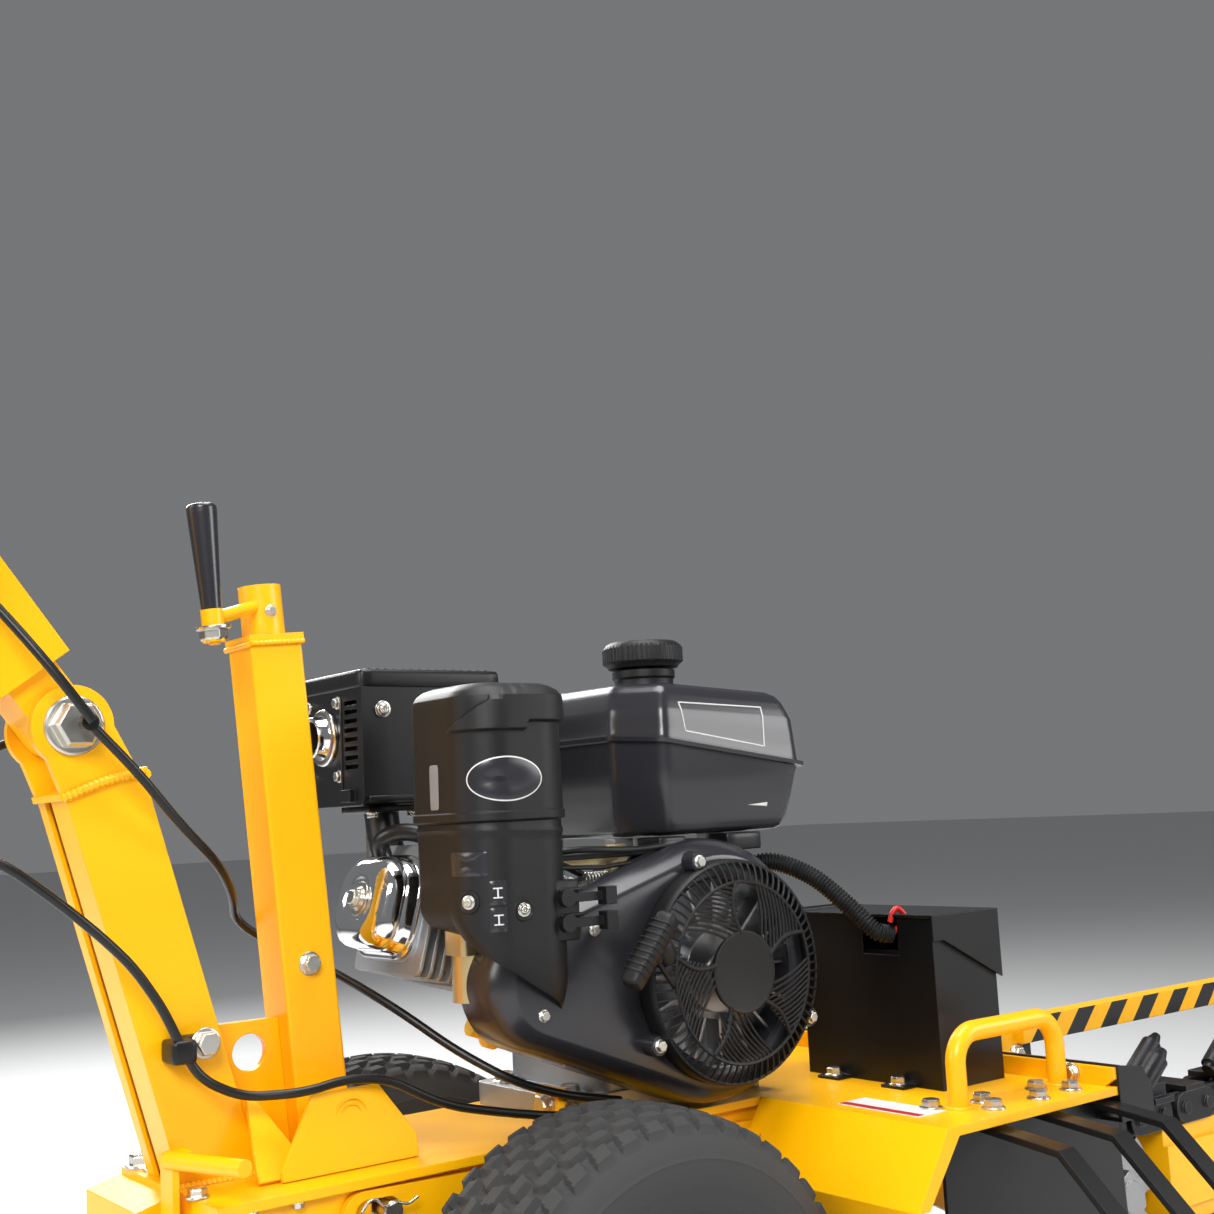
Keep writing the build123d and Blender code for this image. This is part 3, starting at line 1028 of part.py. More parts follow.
TANK_CAP_X = ENGINE_X + 2
TANK_CAP_Y = -55.0
with BuildPart() as fuel_tank:
    add(eng(-72, 150, -138, 80, 131, 232, 26))
    fillet(fuel_tank.faces().sort_by(Axis.Z)[0].edges(), 12)
    add(eng(-66, 144, -132, 74, 232, 272, 24))
    fillet(fuel_tank.faces().sort_by(Axis.Z)[-1].edges(), 14)
    add(eng(-76, 154, -142, 84, 214, 222, 28))
    add(rod((TANK_CAP_X, TANK_CAP_Y, ENGINE_Z + 268), (TANK_CAP_X, TANK_CAP_Y, ENGINE_Z + 296), 31))
    add(rod((TANK_CAP_X, TANK_CAP_Y, ENGINE_Z + 250), (TANK_CAP_X, TANK_CAP_Y, ENGINE_Z + 309), 24))
    add(eng(-58, 136, -124, 66, 136, 258))
    add(rod((TANK_CAP_X, TANK_CAP_Y, ENGINE_Z + 240), (TANK_CAP_X, TANK_CAP_Y, ENGINE_Z + 320), 20),
        mode=Mode.SUBTRACT)
    add(eng(-56, 134, -122, 64, 138, 256), mode=Mode.SUBTRACT)
save(fuel_tank, "fuel_tank")

with BuildPart() as fuel_cap:
    add(rod((TANK_CAP_X, TANK_CAP_Y, ENGINE_Z + 310), (TANK_CAP_X, TANK_CAP_Y, ENGINE_Z + 333), 42))
    fillet(fuel_cap.edges(), 2.5)
    for notch in range(24):
        a = 2 * pi * notch / 24
        add(rod((TANK_CAP_X + 43 * cos(a), TANK_CAP_Y + 43 * sin(a), ENGINE_Z + 305),
                (TANK_CAP_X + 43 * cos(a), TANK_CAP_Y + 43 * sin(a), ENGINE_Z + 328), 3), mode=Mode.SUBTRACT)
    add(rod((TANK_CAP_X, TANK_CAP_Y, ENGINE_Z + 298), (TANK_CAP_X, TANK_CAP_Y, ENGINE_Z + 314), 19.6))
save(fuel_cap, "fuel_cap")

with BuildPart() as air_cleaner_base:
    add(air_body(-26, 153.6))
    add(eng(AIR_X - 70, AIR_X - 10, AIR_Y - 60, AIR_Y + 60, -30, 66), mode=Mode.SUBTRACT)
    add(eng(AIR_X - 70, AIR_X + 70, AIR_Y - 14, AIR_Y + 60, -30, 66), mode=Mode.SUBTRACT)
    add(lever_panel(0))
    add(eng(-212, -150, AIR_Y - 66, -178, 40, 106), mode=Mode.SUBTRACT)
save(air_cleaner_base, "air_cleaner_base")

with BuildPart() as air_cleaner_cover:
    add(air_body(154, 262))
    add(air_body(262, 278, -3))
    fillet(air_cleaner_cover.faces().sort_by(Axis.Z)[-1].edges(), 8)
    add(air_body(150, 272, -4), mode=Mode.SUBTRACT)
save(air_cleaner_cover, "air_cleaner_cover")

LEVER_Y = -178.3
LEVER_X = -200.0
for name, lever_z in (("choke_lever", 84.0), ("fuel_lever", 62.0)):
    with BuildPart() as lever:
        add(disc_y(ENGINE_X + LEVER_X, ENGINE_Z + lever_z, LEVER_Y - 7, LEVER_Y, 8))
        add(eng(LEVER_X, LEVER_X + 44, LEVER_Y - 7, LEVER_Y - 1, lever_z - 4, lever_z + 4))
        add(eng(LEVER_X + 36, LEVER_X + 48, LEVER_Y - 14, LEVER_Y - 1, lever_z - 8, lever_z + 8))
    save(lever, name)

with BuildPart() as carburettor:
    add(eng(-266, -226, -110, -76, 36, 62, 5))
    add(eng_rod((-244, -92, -6), (-244, -92, 36), 20))
    add(eng_rod((-244, -92, -12), (-244, -92, -5), 6))
    # governor arm, link and throttle bracket below the tank
    add(eng(-228, -172, -90, -86, 40, 58))
    add(eng(-178, -74, -90, -87, 108, 114))
    add(eng(-178, -172, -90, -87, 50, 112))
    add(eng(-84, -60, -90, -75, 104, 126))
save(carburettor, "carburettor")

OUTLET_Y = 101.0
OUTLET_R = 16.0
with BuildPart() as muffler:
    add(eng(-278, -142, 36, 186, 188, 296, 20))
    # outlet at the operator's end and pipe from the exhaust port
    add(eng_rod((-270, OUTLET_Y, 246), (-306, OUTLET_Y, 246), 20))
    add(eng_rod((-291, OUTLET_Y, 246), (-296, OUTLET_Y, 246), 27))
    add(eng_rod((-270, OUTLET_Y, 246), (-307, OUTLET_Y, 246), OUTLET_R), mode=Mode.SUBTRACT)
    add(rod(CENTRE + Vector(-238, 84, 106), CENTRE + Vector(-238, 84, 196), 16))
save(muffler, "muffler")

with BuildPart() as muffler_guard:
    add(eng(-290, -130, 22, 200, 176, 308))
    fillet(muffler_guard.edges().filter_by(Axis.X), 8)
    add(eng(-287, -133, 25, 197, 170, 305), mode=Mode.SUBTRACT)
    for slot in range(8):
        add(eng(-294, -284, 32, 60, 212 + 9 * slot, 216.5 + 9 * slot), mode=Mode.SUBTRACT)
        add(eng(-276 + 18 * slot, -268 + 18 * slot, 40, 182, 300, 312), mode=Mode.SUBTRACT)
    add(eng_rod((-300, OUTLET_Y, 246), (-280, OUTLET_Y, 246), 24), mode=Mode.SUBTRACT)
    add(eng(-296, -287, 40, 60, 180, 192))
save(muffler_guard, "muffler_guard")

with BuildPart() as oil_plug:
    add(eng_rod((-176.3, -20, -49.9), (-186, -20, -46.3), 15))
    add(eng_rod((-184, -20, -47), (-206, -20, -38.9), 9))
save(oil_plug, "oil_plug")

# ---------------------------------------------------------------- battery box
BOX_TOP = DECK_TOP + BATTERY_H
LID_HINGE_Y = BATTERY_Y1 + 7
LID_HINGE_Z = BOX_TOP + 3
LUG_T = 6.0
LUGS_X = (BATTERY_X0 + 2, BATTERY_X1 - 2 - LUG_T)
with BuildPart() as battery_box:
    add(block(BATTERY_X0, BATTERY_X1, BATTERY_Y0, BATTERY_Y1, DECK_TOP, BOX_TOP))
    add(block(BATTERY_X0 + BOX_WALL, BATTERY_X1 - BOX_WALL, BATTERY_Y0 + BOX_WALL, BATTERY_Y1 - BOX_WALL,
              DECK_TOP + BOX_WALL, BOX_TOP + 1), mode=Mode.SUBTRACT)
    # lugs of the lid's hinge
    for lug_x in LUGS_X:
        add(bar([(BATTERY_Y1, BOX_TOP - 22), (LID_HINGE_Y + 7, BOX_TOP - 10), (LID_HINGE_Y + 7, BOX_TOP + 9),
                 (BATTERY_Y1 + 2.6, BOX_TOP + 9), (BATTERY_Y1 + 2.6, BOX_TOP), (BATTERY_Y1, BOX_TOP)],
                lug_x, lug_x + LUG_T))
    add(rod((BATTERY_X0, LID_HINGE_Y, LID_HINGE_Z), (BATTERY_X1, LID_HINGE_Y, LID_HINGE_Z), 4 + RUN),
        mode=Mode.SUBTRACT)
    # cable opening in the wall that faces the engine
    add(block(BATTERY_X0 - 5, BATTERY_X0 + BOX_WALL + 2, BATTERY_Y0 + 46, BATTERY_Y0 + 96, BOX_TOP - 38, BOX_TOP + 1),
        mode=Mode.SUBTRACT)
    for foot_x in (BATTERY_X0 - 20, BATTERY_X1):
        add(block(foot_x, foot_x + 20, -220, -190, DECK_TOP, DECK_TOP + 3))
        add(block(foot_x, foot_x + 20, -130, -100, DECK_TOP, DECK_TOP + 3))
save(battery_box, "battery_box")

with BuildPart() as battery:
    add(block(BATTERY_X0 + 7, BATTERY_X1 - 7, BATTERY_Y0 + 9, BATTERY_Y1 - 9, DECK_TOP + BOX_WALL, BOX_TOP - 34))
    for post_y in (BATTERY_Y0 + 40, BATTERY_Y1 - 40):
        add(rod((BATTERY_X0 + 30, post_y, BOX_TOP - 36), (BATTERY_X0 + 30, post_y, BOX_TOP - 18), 7))
save(battery, "battery")

with BuildPart() as battery_lid:
    add(block(BATTERY_X0 - 4, BATTERY_X1 + 4, BATTERY_Y0 - 5, BATTERY_Y1 + 2, BOX_TOP + 0.5, BOX_TOP + 3.5))
    # skirt with a long slanted tongue at the near side
    add(bar([(BATTERY_Y0 - 5, BOX_TOP + 3.5), (BATTERY_Y0 - 2, BOX_TOP + 3.5), (BATTERY_Y0 - 2, BOX_TOP - 22),
             (BATTERY_Y0 - 5, BOX_TOP - 22)], BATTERY_X0 - 4, BATTERY_X1 + 4))
    add(slab([(BATTERY_X0 + 8, BOX_TOP - 20), (BATTERY_X1 + 4, BOX_TOP - 20), (BATTERY_X1 + 4, BOX_TOP - 66)],
             BATTERY_Y0 - 5, BATTERY_Y0 - 2))
    for lug_x in LUGS_X:
        add(block(lug_x - 1.2, lug_x + LUG_T + 1.2, LID_HINGE_Y - 10, BATTERY_Y1 + 10, BOX_TOP - 1, BOX_TOP + 5),
            mode=Mode.SUBTRACT)
    add(rod((BATTERY_X0 + 2, LID_HINGE_Y, LID_HINGE_Z), (BATTERY_X1 - 2, LID_HINGE_Y, LID_HINGE_Z), 4))
    add(block(BATTERY_X0 + 10, BATTERY_X1 - 10, BATTERY_Y1, LID_HINGE_Y, BOX_TOP + 0.5, BOX_TOP + 3.5))
save(battery_lid, "battery_lid")

# ---------------------------------------------------------------- cables and levers
def cable(points, radius):
    """A cable of straight runs and tangent arcs, each arc as wide as its runs allow."""
    runs = [(Vector(*b) - Vector(*a)) for a, b in zip(points, points[1:])]
    radii = []
    for one, two in zip(runs, runs[1:]):
        half = radians(one.get_angle(two)) / 2
        radii.append(0.45 * min(one.length, two.length) / tan(half))
    print("cable radii", [round(r) for r in radii])
    with BuildPart(mode=Mode.PRIVATE) as c:
        with BuildLine() as line:
            FilletPolyline(*points, radius=radii)
        with BuildSketch(Plane(origin=line.line @ 0, z_dir=line.line % 0)):
            Circle(radius)
        sweep()
    length = sum(e.length for e in line.edges())
    print("cable length", round(length), "volume ratio", round(c.part.volume / (length * pi * radius ** 2), 4))
    return c.part


CABLE_R = 4.0
AXIS_NEAR = -76.0        # the cables cross from the handle to the chassis on the hinge axis
AXIS_FAR = 66.0
CLUTCH_PATH = [(PIVOT_X, AXIS_NEAR, PIVOT_Z), (-372, -74, 714), (-330, -62, 668), (-290, -44, 634),
               (-262, -8, 606), (-238, 44, 578), (-188, 58, 550), (-140, 34, 522), (-106, -20, 488),
               (-70, -62, 450), (-30, -98, 420), (20, -102, 402), (84, -104, 388)]
THROTTLE_PATH = [(PIVOT_X, AXIS_FAR, PIVOT_Z), (-448, 72, 741), (-494, 66, 716), (-530, 36, 690),
                 (-542, -8, 674), (-520, -52, 664), (-478, -75, 646), (-432, -78, 609), (-402, -76, 583),
                 (-374, -71, 556), (-348, -65, 520), (-333, -62, 490), (-316, -62, 460), (-282, -68, 441),
                 (-234, -86, 440), (-196, -88, 446), (-158, -92, 441), (-108, -101, 412), (-50, -110, 398),
                 (0, -118, 388), (56, -119, 383)]
with BuildPart() as control_cables:
    add(cable(CLUTCH_PATH, CABLE_R))
    add(cable(THROTTLE_PATH, CABLE_R))
    # end ferrules on the hinge axis
    add(disc_y(PIVOT_X, PIVOT_Z, AXIS_NEAR - 5, AXIS_NEAR + 5, 7))
    add(disc_y(PIVOT_X, PIVOT_Z, AXIS_FAR - 5, AXIS_FAR + 5, 7))
save(control_cables, "control_cables")

TUBE_NEAR = -HANDLE_FACE - 6
with BuildPart() as handle_cables:
    add(cable([(PIVOT_X, AXIS_NEAR - 11, PIVOT_Z), (PIVOT_X - 30, AXIS_NEAR - 4, PIVOT_Z + 42),
               (PIVOT_X - 62, -60, PIVOT_Z + 88), (PIVOT_X - 98, TUBE_NEAR, PIVOT_Z + 132),
               (PIVOT_X - 136, TUBE_NEAR - 1, PIVOT_Z + 184), (PIVOT_X - 172, TUBE_NEAR - 4, PIVOT_Z + 238)],
              CABLE_R))
    add(cable([(PIVOT_X, AXIS_FAR + 11, PIVOT_Z), (PIVOT_X - 30, AXIS_FAR + 2, PIVOT_Z + 42),
               (PIVOT_X - 62, 56, PIVOT_Z + 88), (PIVOT_X - 98, -TUBE_NEAR, PIVOT_Z + 132),
               (PIVOT_X - 136, -TUBE_NEAR + 1, PIVOT_Z + 184), (PIVOT_X - 172, -TUBE_NEAR + 4, PIVOT_Z + 238)],
              CABLE_R))
save(handle_cables, "handle_cables")

# levers at the handlebar
with BuildPart() as clutch_lever:
    add(disc_y(LEVER_AXIS.X, LEVER_AXIS.Z, -BAR_SPAN / 2 + 62, -120, LEVER_R))
    add(tube_path([(LEVER_AXIS.X, -BAR_SPAN / 2 + 66, LEVER_AXIS.Z), (LEVER_AXIS.X - 40, -BAR_SPAN / 2, LEVER_AXIS.Z + 24),
                   (GRIP_END_X + 20, -BAR_SPAN / 2, LEVER_AXIS.Z + 30)], 5, 24))
save(clutch_lever, "clutch_lever")

with BuildPart() as throttle_lever:
    add(disc_y(LEVER_AXIS.X, LEVER_AXIS.Z, 96, 104, 14))
    add(rod((LEVER_AXIS.X, 100, LEVER_AXIS.Z), (LEVER_AXIS.X, 100, LEVER_AXIS.Z + 56), 3.5))
    add(rod((LEVER_AXIS.X, 100, LEVER_AXIS.Z + 50), (LEVER_AXIS.X, 100, LEVER_AXIS.Z + 74), 9))
    add(disc_y(LEVER_AXIS.X, LEVER_AXIS.Z, 90, 112, 5 + RUN), mode=Mode.SUBTRACT)
save(throttle_lever, "throttle_lever")

CONDUIT_R = 9.0
with BuildPart() as battery_cables:
    add(cable([(268, -80, 568), (292, -82, 602), (318, -118, 598), (338, -158, 562), (350, -188, 532),
               (BATTERY_X0 + 2, -200, 522)], CONDUIT_R))
    add(cable([(BATTERY_X0 + 1, -200, 522), (BATTERY_X0 + 14, -206, 527),
               (BATTERY_X0 + 30, BATTERY_Y0 + 40, BOX_TOP - 13)], 3.0))
save(battery_cables, "battery_cables")

CLIP_BOLT = (-308.0, 487.0)
with BuildPart() as cable_clamp:
    add(block(-342, -316, -68.5, -HANDLE_FACE - 0.2, 472, 494, 4))
    add(block(-325, CLIP_BOLT[0] + 8, -54, -HANDLE_FACE - 0.2, CLIP_BOLT[1] - 8, CLIP_BOLT[1] + 8))
    add(bolt((CLIP_BOLT[0], -54, CLIP_BOLT[1]), (0, -1, 0), 10, 0))
    add(cable(THROTTLE_PATH, CABLE_R + 0.2), mode=Mode.SUBTRACT)
save(cable_clamp, "cable_clamp")

# ---------------------------------------------------------------- fasteners of the chassis
with BuildPart() as frame_bolts:
    for seat in ((-316, 71, 12), (-238, -22, 10), (-312, 49, 9)):
        add(bolt((seat[0], seat[1], DECK_TOP), (0, 0, 1), seat[2], 0))
    for seat in ((-122, -62), (-122, 52), (92, -62), (92, 52)):
        add(bolt((ENGINE_X + seat[0], seat[1], DECK_TOP + 22), (0, 0, 1), 10, 0))
    for seat in ((335, -345), (398, -348), (452, -345), (300, -300), (352, -318), (434, -318)):
        add(bolt((seat[0], seat[1], DECK_TOP), (0, 0, 1), 9, 0))
    for seat_x in (-300, -260):
        add(bolt((seat_x, DECK_NEAR + 5, PLATE_BASE), (0, 0, -1), 4.4, 0))
    for foot_x in (BATTERY_X0 - 10, BATTERY_X1 + 10):
        add(bolt((foot_x, -205, DECK_TOP + 3), (0, 0, 1), 8, 0))
        add(bolt((foot_x, -115, DECK_TOP + 3), (0, 0, 1), 8, 0))
    # engine adjuster
    add(bolt((18, -77, DECK_TOP + 20), (-1, 0, 0), 10, 18.6))
    # pins of the wheel arms
    add(disc_y(ARM_PIVOT_X, ARM_PIVOT_Z, -134, -86, PIN_R))
    add(bolt((ARM_PIVOT_X, -127, ARM_PIVOT_Z), (0, -1, 0), 14, 0))
    add(disc_y(ARM_PIVOT_X, ARM_PIVOT_Z, 44, 92, PIN_R))
    add(bolt((ARM_PIVOT_X, 85, ARM_PIVOT_Z), (0, 1, 0), 14, 0))
    # pin of the lock lever
    add(disc_y(LOCK_X, LOCK_Z, -80, -36, LOCK_PIN))
    # bolts of the jack column, the front flange and the hazard bar
    add(bolt((jack_point(540), -JACK_FACE, 540), (0, -1, 0), 8, 0))
    add(bolt((FRONT_END - 6, -322, DECK_TOP + 9.5), (-1, 0, 0), 8, 0))
    add(bolt((FRONT_END + 40, HAZARD_Y - 3, DECK_TOP + 12), (0, -1, 0), 8, 0))
save(frame_bolts, "frame_bolts")
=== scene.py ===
import json
import math

import bmesh
import bpy
import numpy as np
from mathutils import Matrix, Vector


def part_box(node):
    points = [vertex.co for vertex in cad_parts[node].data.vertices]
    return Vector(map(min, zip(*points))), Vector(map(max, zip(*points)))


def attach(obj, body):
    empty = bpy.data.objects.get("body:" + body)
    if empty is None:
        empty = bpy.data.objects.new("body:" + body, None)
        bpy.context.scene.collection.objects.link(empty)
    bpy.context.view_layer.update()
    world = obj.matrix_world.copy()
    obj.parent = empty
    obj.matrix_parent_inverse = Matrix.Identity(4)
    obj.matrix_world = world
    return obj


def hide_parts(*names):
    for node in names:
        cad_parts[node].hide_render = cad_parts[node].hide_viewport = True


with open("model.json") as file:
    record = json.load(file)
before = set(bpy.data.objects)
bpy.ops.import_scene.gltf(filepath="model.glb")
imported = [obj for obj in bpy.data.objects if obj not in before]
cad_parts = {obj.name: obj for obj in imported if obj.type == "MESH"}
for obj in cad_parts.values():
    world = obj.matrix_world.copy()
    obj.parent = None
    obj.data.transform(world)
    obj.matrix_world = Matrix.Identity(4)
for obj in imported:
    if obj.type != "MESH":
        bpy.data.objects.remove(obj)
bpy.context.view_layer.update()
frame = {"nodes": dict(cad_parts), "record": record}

bl_info = {
    "name": "Walk-behind trencher",
    "version": (1, 0, 0),
    "blender": (4, 5, 0),
    "location": "View3D > Sidebar > Trencher",
    "description": "Finishes and mesh detail for a walk-behind chain trencher",
    "category": "Object",
}

TAU = 2 * math.pi


# ------------------------------------------------------------------ settings
class TrencherFinish(bpy.types.PropertyGroup):
    """Colours and textures of the painted, moulded and bare surfaces."""

    yellow: bpy.props.FloatVectorProperty(name="Yellow coat", description="Colour of the frame's powder coat",
                                          subtype="COLOR", size=3, default=(0.95, 0.455, 0.0))
    black: bpy.props.FloatVectorProperty(name="Black coat", description="Colour of the black painted sheet",
                                         subtype="COLOR", size=3, default=(0.004, 0.004, 0.0045))
    plastic: bpy.props.FloatVectorProperty(name="Moulded plastic",
                                           description="Colour of the engine's covers",
                                           subtype="COLOR", size=3, default=(0.0075, 0.0075, 0.008))
    stripe: bpy.props.FloatProperty(name="Stripe spacing", description="Distance between the warning stripes",
                                    subtype="DISTANCE", default=0.062)


class TrencherTyre(bpy.types.PropertyGroup):
    """Sizes of the drive tyres' turf tread."""

    tread: bpy.props.FloatProperty(name="Tread depth", description="Height of the tread blocks",
                                   subtype="DISTANCE", default=0.006)
    pitches: bpy.props.IntProperty(name="Pitches", description="Tread blocks round the tyre", default=44)
    rows: bpy.props.IntProperty(name="Rows", description="Rows of blocks across the tread", default=7)


# ------------------------------------------------------------------ mesh building
def joined(parts):
    """Several (vertices, faces) pairs as one pair."""
    vertices, faces, start = [], [], 0
    for points, quads in parts:
        vertices.append(points)
        faces += [[i + start for i in face] for face in quads]
        start += len(points)
    return np.concatenate(vertices), faces


def grid(points, wrap_u=False, wrap_v=False):
    """Quads over an array of points of shape (u, v, 3)."""
    nu, nv = points.shape[:2]
    u = np.arange(nu if wrap_u else nu - 1)
    v = np.arange(nv if wrap_v else nv - 1)
    uu, vv = np.meshgrid(u, v, indexing="ij")
    un, vn = (uu + 1) % nu, (vv + 1) % nv
    faces = np.stack([uu * nv + vv, un * nv + vv, un * nv + vn, uu * nv + vn], -1).reshape(-1, 4)
    return points.reshape(-1, 3), faces.tolist()


def basis(direction):
    """Two unit vectors square to direction."""
    d = np.asarray(direction, float)
    d = d / np.linalg.norm(d)
    side = np.cross(d, (0, 0, 1) if abs(d[2]) < 0.9 else (1, 0, 0))
    side /= np.linalg.norm(side)
    return side, np.cross(d, side), d


def lathe(origin, direction, profile, segments=48):
    """A solid of revolution: p = o + a d + r (cos t s + sin t q) for each (a, r) of the profile."""
    s, q, d = basis(direction)
    along, radius = np.asarray(profile, float).T
    t = np.linspace(0, TAU, segments, endpoint=False)
    ring = np.cos(t)[:, None] * s + np.sin(t)[:, None] * q
    points = np.asarray(origin) + along[None, :, None] * d + radius[None, :, None] * ring[:, None, :]
    return grid(points, wrap_u=True)


def tube(path, radius, sides=14):
    """A round tube along a smooth path, with closed ends. radius is a number or one for each point."""
    path = np.asarray(path, float)
    run = np.gradient(path, axis=0)
    run /= np.linalg.norm(run, axis=1)[:, None]
    side = np.cross(run, (0.31, 0.17, 0.93))
    side /= np.linalg.norm(side, axis=1)[:, None]
    up = np.cross(run, side)
    radius = np.broadcast_to(np.asarray(radius, float), (len(path),))
    t = np.linspace(0, TAU, sides, endpoint=False)
    ring = np.cos(t)[None, :, None] * side[:, None] + np.sin(t)[None, :, None] * up[:, None]
    points = path[:, None] + radius[:, None, None] * ring
    points, faces = grid(points, wrap_v=True)
    last = len(points) - sides
    faces.append(list(range(sides))[::-1])
    faces.append(list(range(last, last + sides)))
    return points, faces


def curve_through(points, steps=12):
    """A smooth path through points: Catmull-Rom, p(t) from four neighbours."""
    p = np.asarray(points, float)
    p = np.concatenate([[2 * p[0] - p[1]], p, [2 * p[-1] - p[-2]]])
    t = np.linspace(0, 1, steps, endpoint=False)[:, None]
    a, b, c, d = p[:-3, None], p[1:-2, None], p[2:-1, None], p[3:, None]
    q = 0.5 * (2 * b + (c - a) * t + (2 * a - 5 * b + 4 * c - d) * t ** 2 + (3 * b - a - 3 * c + d) * t ** 3)
    return np.concatenate([q.reshape(-1, 3), p[-2:-1]])


def soft_box(low, high, radius, steps=4):
    """A box with rounded edges: each point is pushed out by radius from the inner box."""
    low, high = np.asarray(low, float), np.asarray(high, float)
    half = (high - low) / 2
    inner = np.maximum(half - radius, 0)
    line = np.linspace(-1, 1, 2 * steps)
    u, v = np.meshgrid(line, line, indexing="ij")
    one = np.ones_like(u)
    parts = []
    for axis in range(3):
        for sign in (1, -1):
            cube = [None, None, None]
            cube[axis] = sign * one
            cube[(axis + 1) % 3], cube[(axis + 2) % 3] = u, v
            p = np.stack(cube, -1)
            out = p / np.linalg.norm(p, axis=-1)[..., None]
            # spread the grid so that its outer rings lie on the rounding
            core = np.clip(np.tan(p * 0.99 * math.pi / 4) * 4, -1, 1) * inner
            points = (low + high) / 2 + core + radius * out
            part = grid(points)
            if sign < 0:
                part = (part[0], [face[::-1] for face in part[1]])
            parts.append(part)
    return joined(parts)


def piece(name, part, body, material, replaces=(), sharp=32.0):
    """One finished piece in the row frame, riding a body."""
    points, faces = part
    mesh = bpy.data.meshes.new(name)
    mesh.from_pydata(np.asarray(points).tolist(), [], faces)
    work = bpy.data.objects.new(name, mesh)
    bpy.context.scene.collection.objects.link(work)
    mesh.materials.append(bpy.data.materials[material])
    b = bmesh.new()
    b.from_mesh(mesh)
    bmesh.ops.remove_doubles(b, verts=b.verts, dist=1e-6)
    bmesh.ops.recalc_face_normals(b, faces=b.faces)
    b.to_mesh(mesh)
    b.free()
    mesh.shade_smooth()
    mesh.set_sharp_from_angle(angle=math.radians(sharp))
    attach(work, body)
    if replaces:
        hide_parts(*replaces)
    return work


def hex_head(seat, direction, size):
    """A flanged hexagon head with a chamfered top, size across its corners."""
    s, q, d = basis(direction)
    seat = np.asarray(seat, float)
    washer = lathe(seat, d, [(0, 0), (0, 0.62 * size), (0.09 * size, 0.62 * size), (0.12 * size, 0.58 * size),
                             (0.12 * size, 0)], 28)
    levels = [(0.1, 0.0), (0.1, 0.5), (0.42, 0.5), (0.5, 0.44), (0.5, 0.0)]
    t = np.linspace(0, TAU, 6, endpoint=False)
    ring = np.cos(t)[:, None] * s + np.sin(t)[:, None] * q
    along = np.array([a for a, _ in levels]) * size
    radius = np.array([r for _, r in levels]) * size
    points = seat + along[None, :, None] * d + radius[None, :, None] * ring[:, None]
    return joined([washer, grid(points, wrap_u=True)])


# ------------------------------------------------------------------ shader effects and finishes
def node_group(name, inputs, outputs):
    """An empty shader group with float inputs (name, default) and outputs (name, socket type)."""
    group = bpy.data.node_groups.new(name, "ShaderNodeTree")
    for label, value in inputs:
        socket = group.interface.new_socket(label, in_out="INPUT", socket_type="NodeSocketFloat")
        socket.default_value = value
    for label, kind in outputs:
        group.interface.new_socket(label, in_out="OUTPUT", socket_type=kind)
    return group, group.nodes.new("NodeGroupInput"), group.nodes.new("NodeGroupOutput")


def math_node(tree, operation, a, b=None):
    """A math node whose inputs are sockets or numbers."""
    node = tree.nodes.new("ShaderNodeMath")
    node.operation = operation
    for index, value in enumerate((a, b)):
        if value is None:
            continue
        if isinstance(value, (int, float)):
            node.inputs[index].default_value = value
        else:
            tree.links.new(value, node.inputs[index])
    return node.outputs[0]


def build_grain():
    """Fine grain over a slow cloud: gives a height, a roughness and a tone that vary over the surface."""
    inputs = [("Grain Size", 900.0), ("Cloud Size", 14.0), ("Roughness", 0.4), ("Spread", 0.1)]
    group, start, end = node_group("Surface Grain", inputs, [("Height", "NodeSocketFloat"),
                                                             ("Roughness", "NodeSocketFloat"),
                                                             ("Tone", "NodeSocketFloat")])
    where = group.nodes.new("ShaderNodeTexCoord").outputs["Object"]
    noises = []
    for label, detail in (("Grain Size", 2.0), ("Cloud Size", 4.0)):
        noise = group.nodes.new("ShaderNodeTexNoise")
        noise.inputs["Detail"].default_value = detail
        group.links.new(where, noise.inputs["Vector"])
        group.links.new(start.outputs[label], noise.inputs["Scale"])
        noises.append(noise.outputs["Fac"])
    swing = math_node(group, "SUBTRACT", noises[1], 0.5)
    spread = math_node(group, "MULTIPLY", swing, start.outputs["Spread"])
    rough = math_node(group, "ADD", spread, start.outputs["Roughness"])
    group.links.new(noises[0], end.inputs["Height"])
    group.links.new(rough, end.inputs["Roughness"])
    group.links.new(noises[1], end.inputs["Tone"])


def build_edge_wear_and_highlight():
    """Edge mask: how far the rounded normal leans from the face's own, broken up by noise. The finishes paint
    their edges lighter through it, partly as wear and partly as painted highlight.
    """
    group, start, end = node_group("Edge Wear And Highlight", [("Width", 0.002), ("Amount", 1.0)],
                                   [("Mask", "NodeSocketFloat")])
    bevel = group.nodes.new("ShaderNodeBevel")
    bevel.samples = 4
    group.links.new(start.outputs["Width"], bevel.inputs["Radius"])
    own = group.nodes.new("ShaderNodeNewGeometry")
    dot = group.nodes.new("ShaderNodeVectorMath")
    dot.operation = "DOT_PRODUCT"
    group.links.new(bevel.outputs["Normal"], dot.inputs[0])
    group.links.new(own.outputs["Normal"], dot.inputs[1])
    lean = math_node(group, "SUBTRACT", 1.0, dot.outputs["Value"])
    noise = group.nodes.new("ShaderNodeTexNoise")
    noise.inputs["Scale"].default_value = 60.0
    where = group.nodes.new("ShaderNodeTexCoord").outputs["Object"]
    group.links.new(where, noise.inputs["Vector"])
    broken = math_node(group, "MULTIPLY", lean, noise.outputs["Fac"])
    scaled = math_node(group, "MULTIPLY", broken, start.outputs["Amount"])
    clamp = math_node(group, "MINIMUM", scaled, 1.0)
    group.links.new(clamp, end.inputs["Mask"])


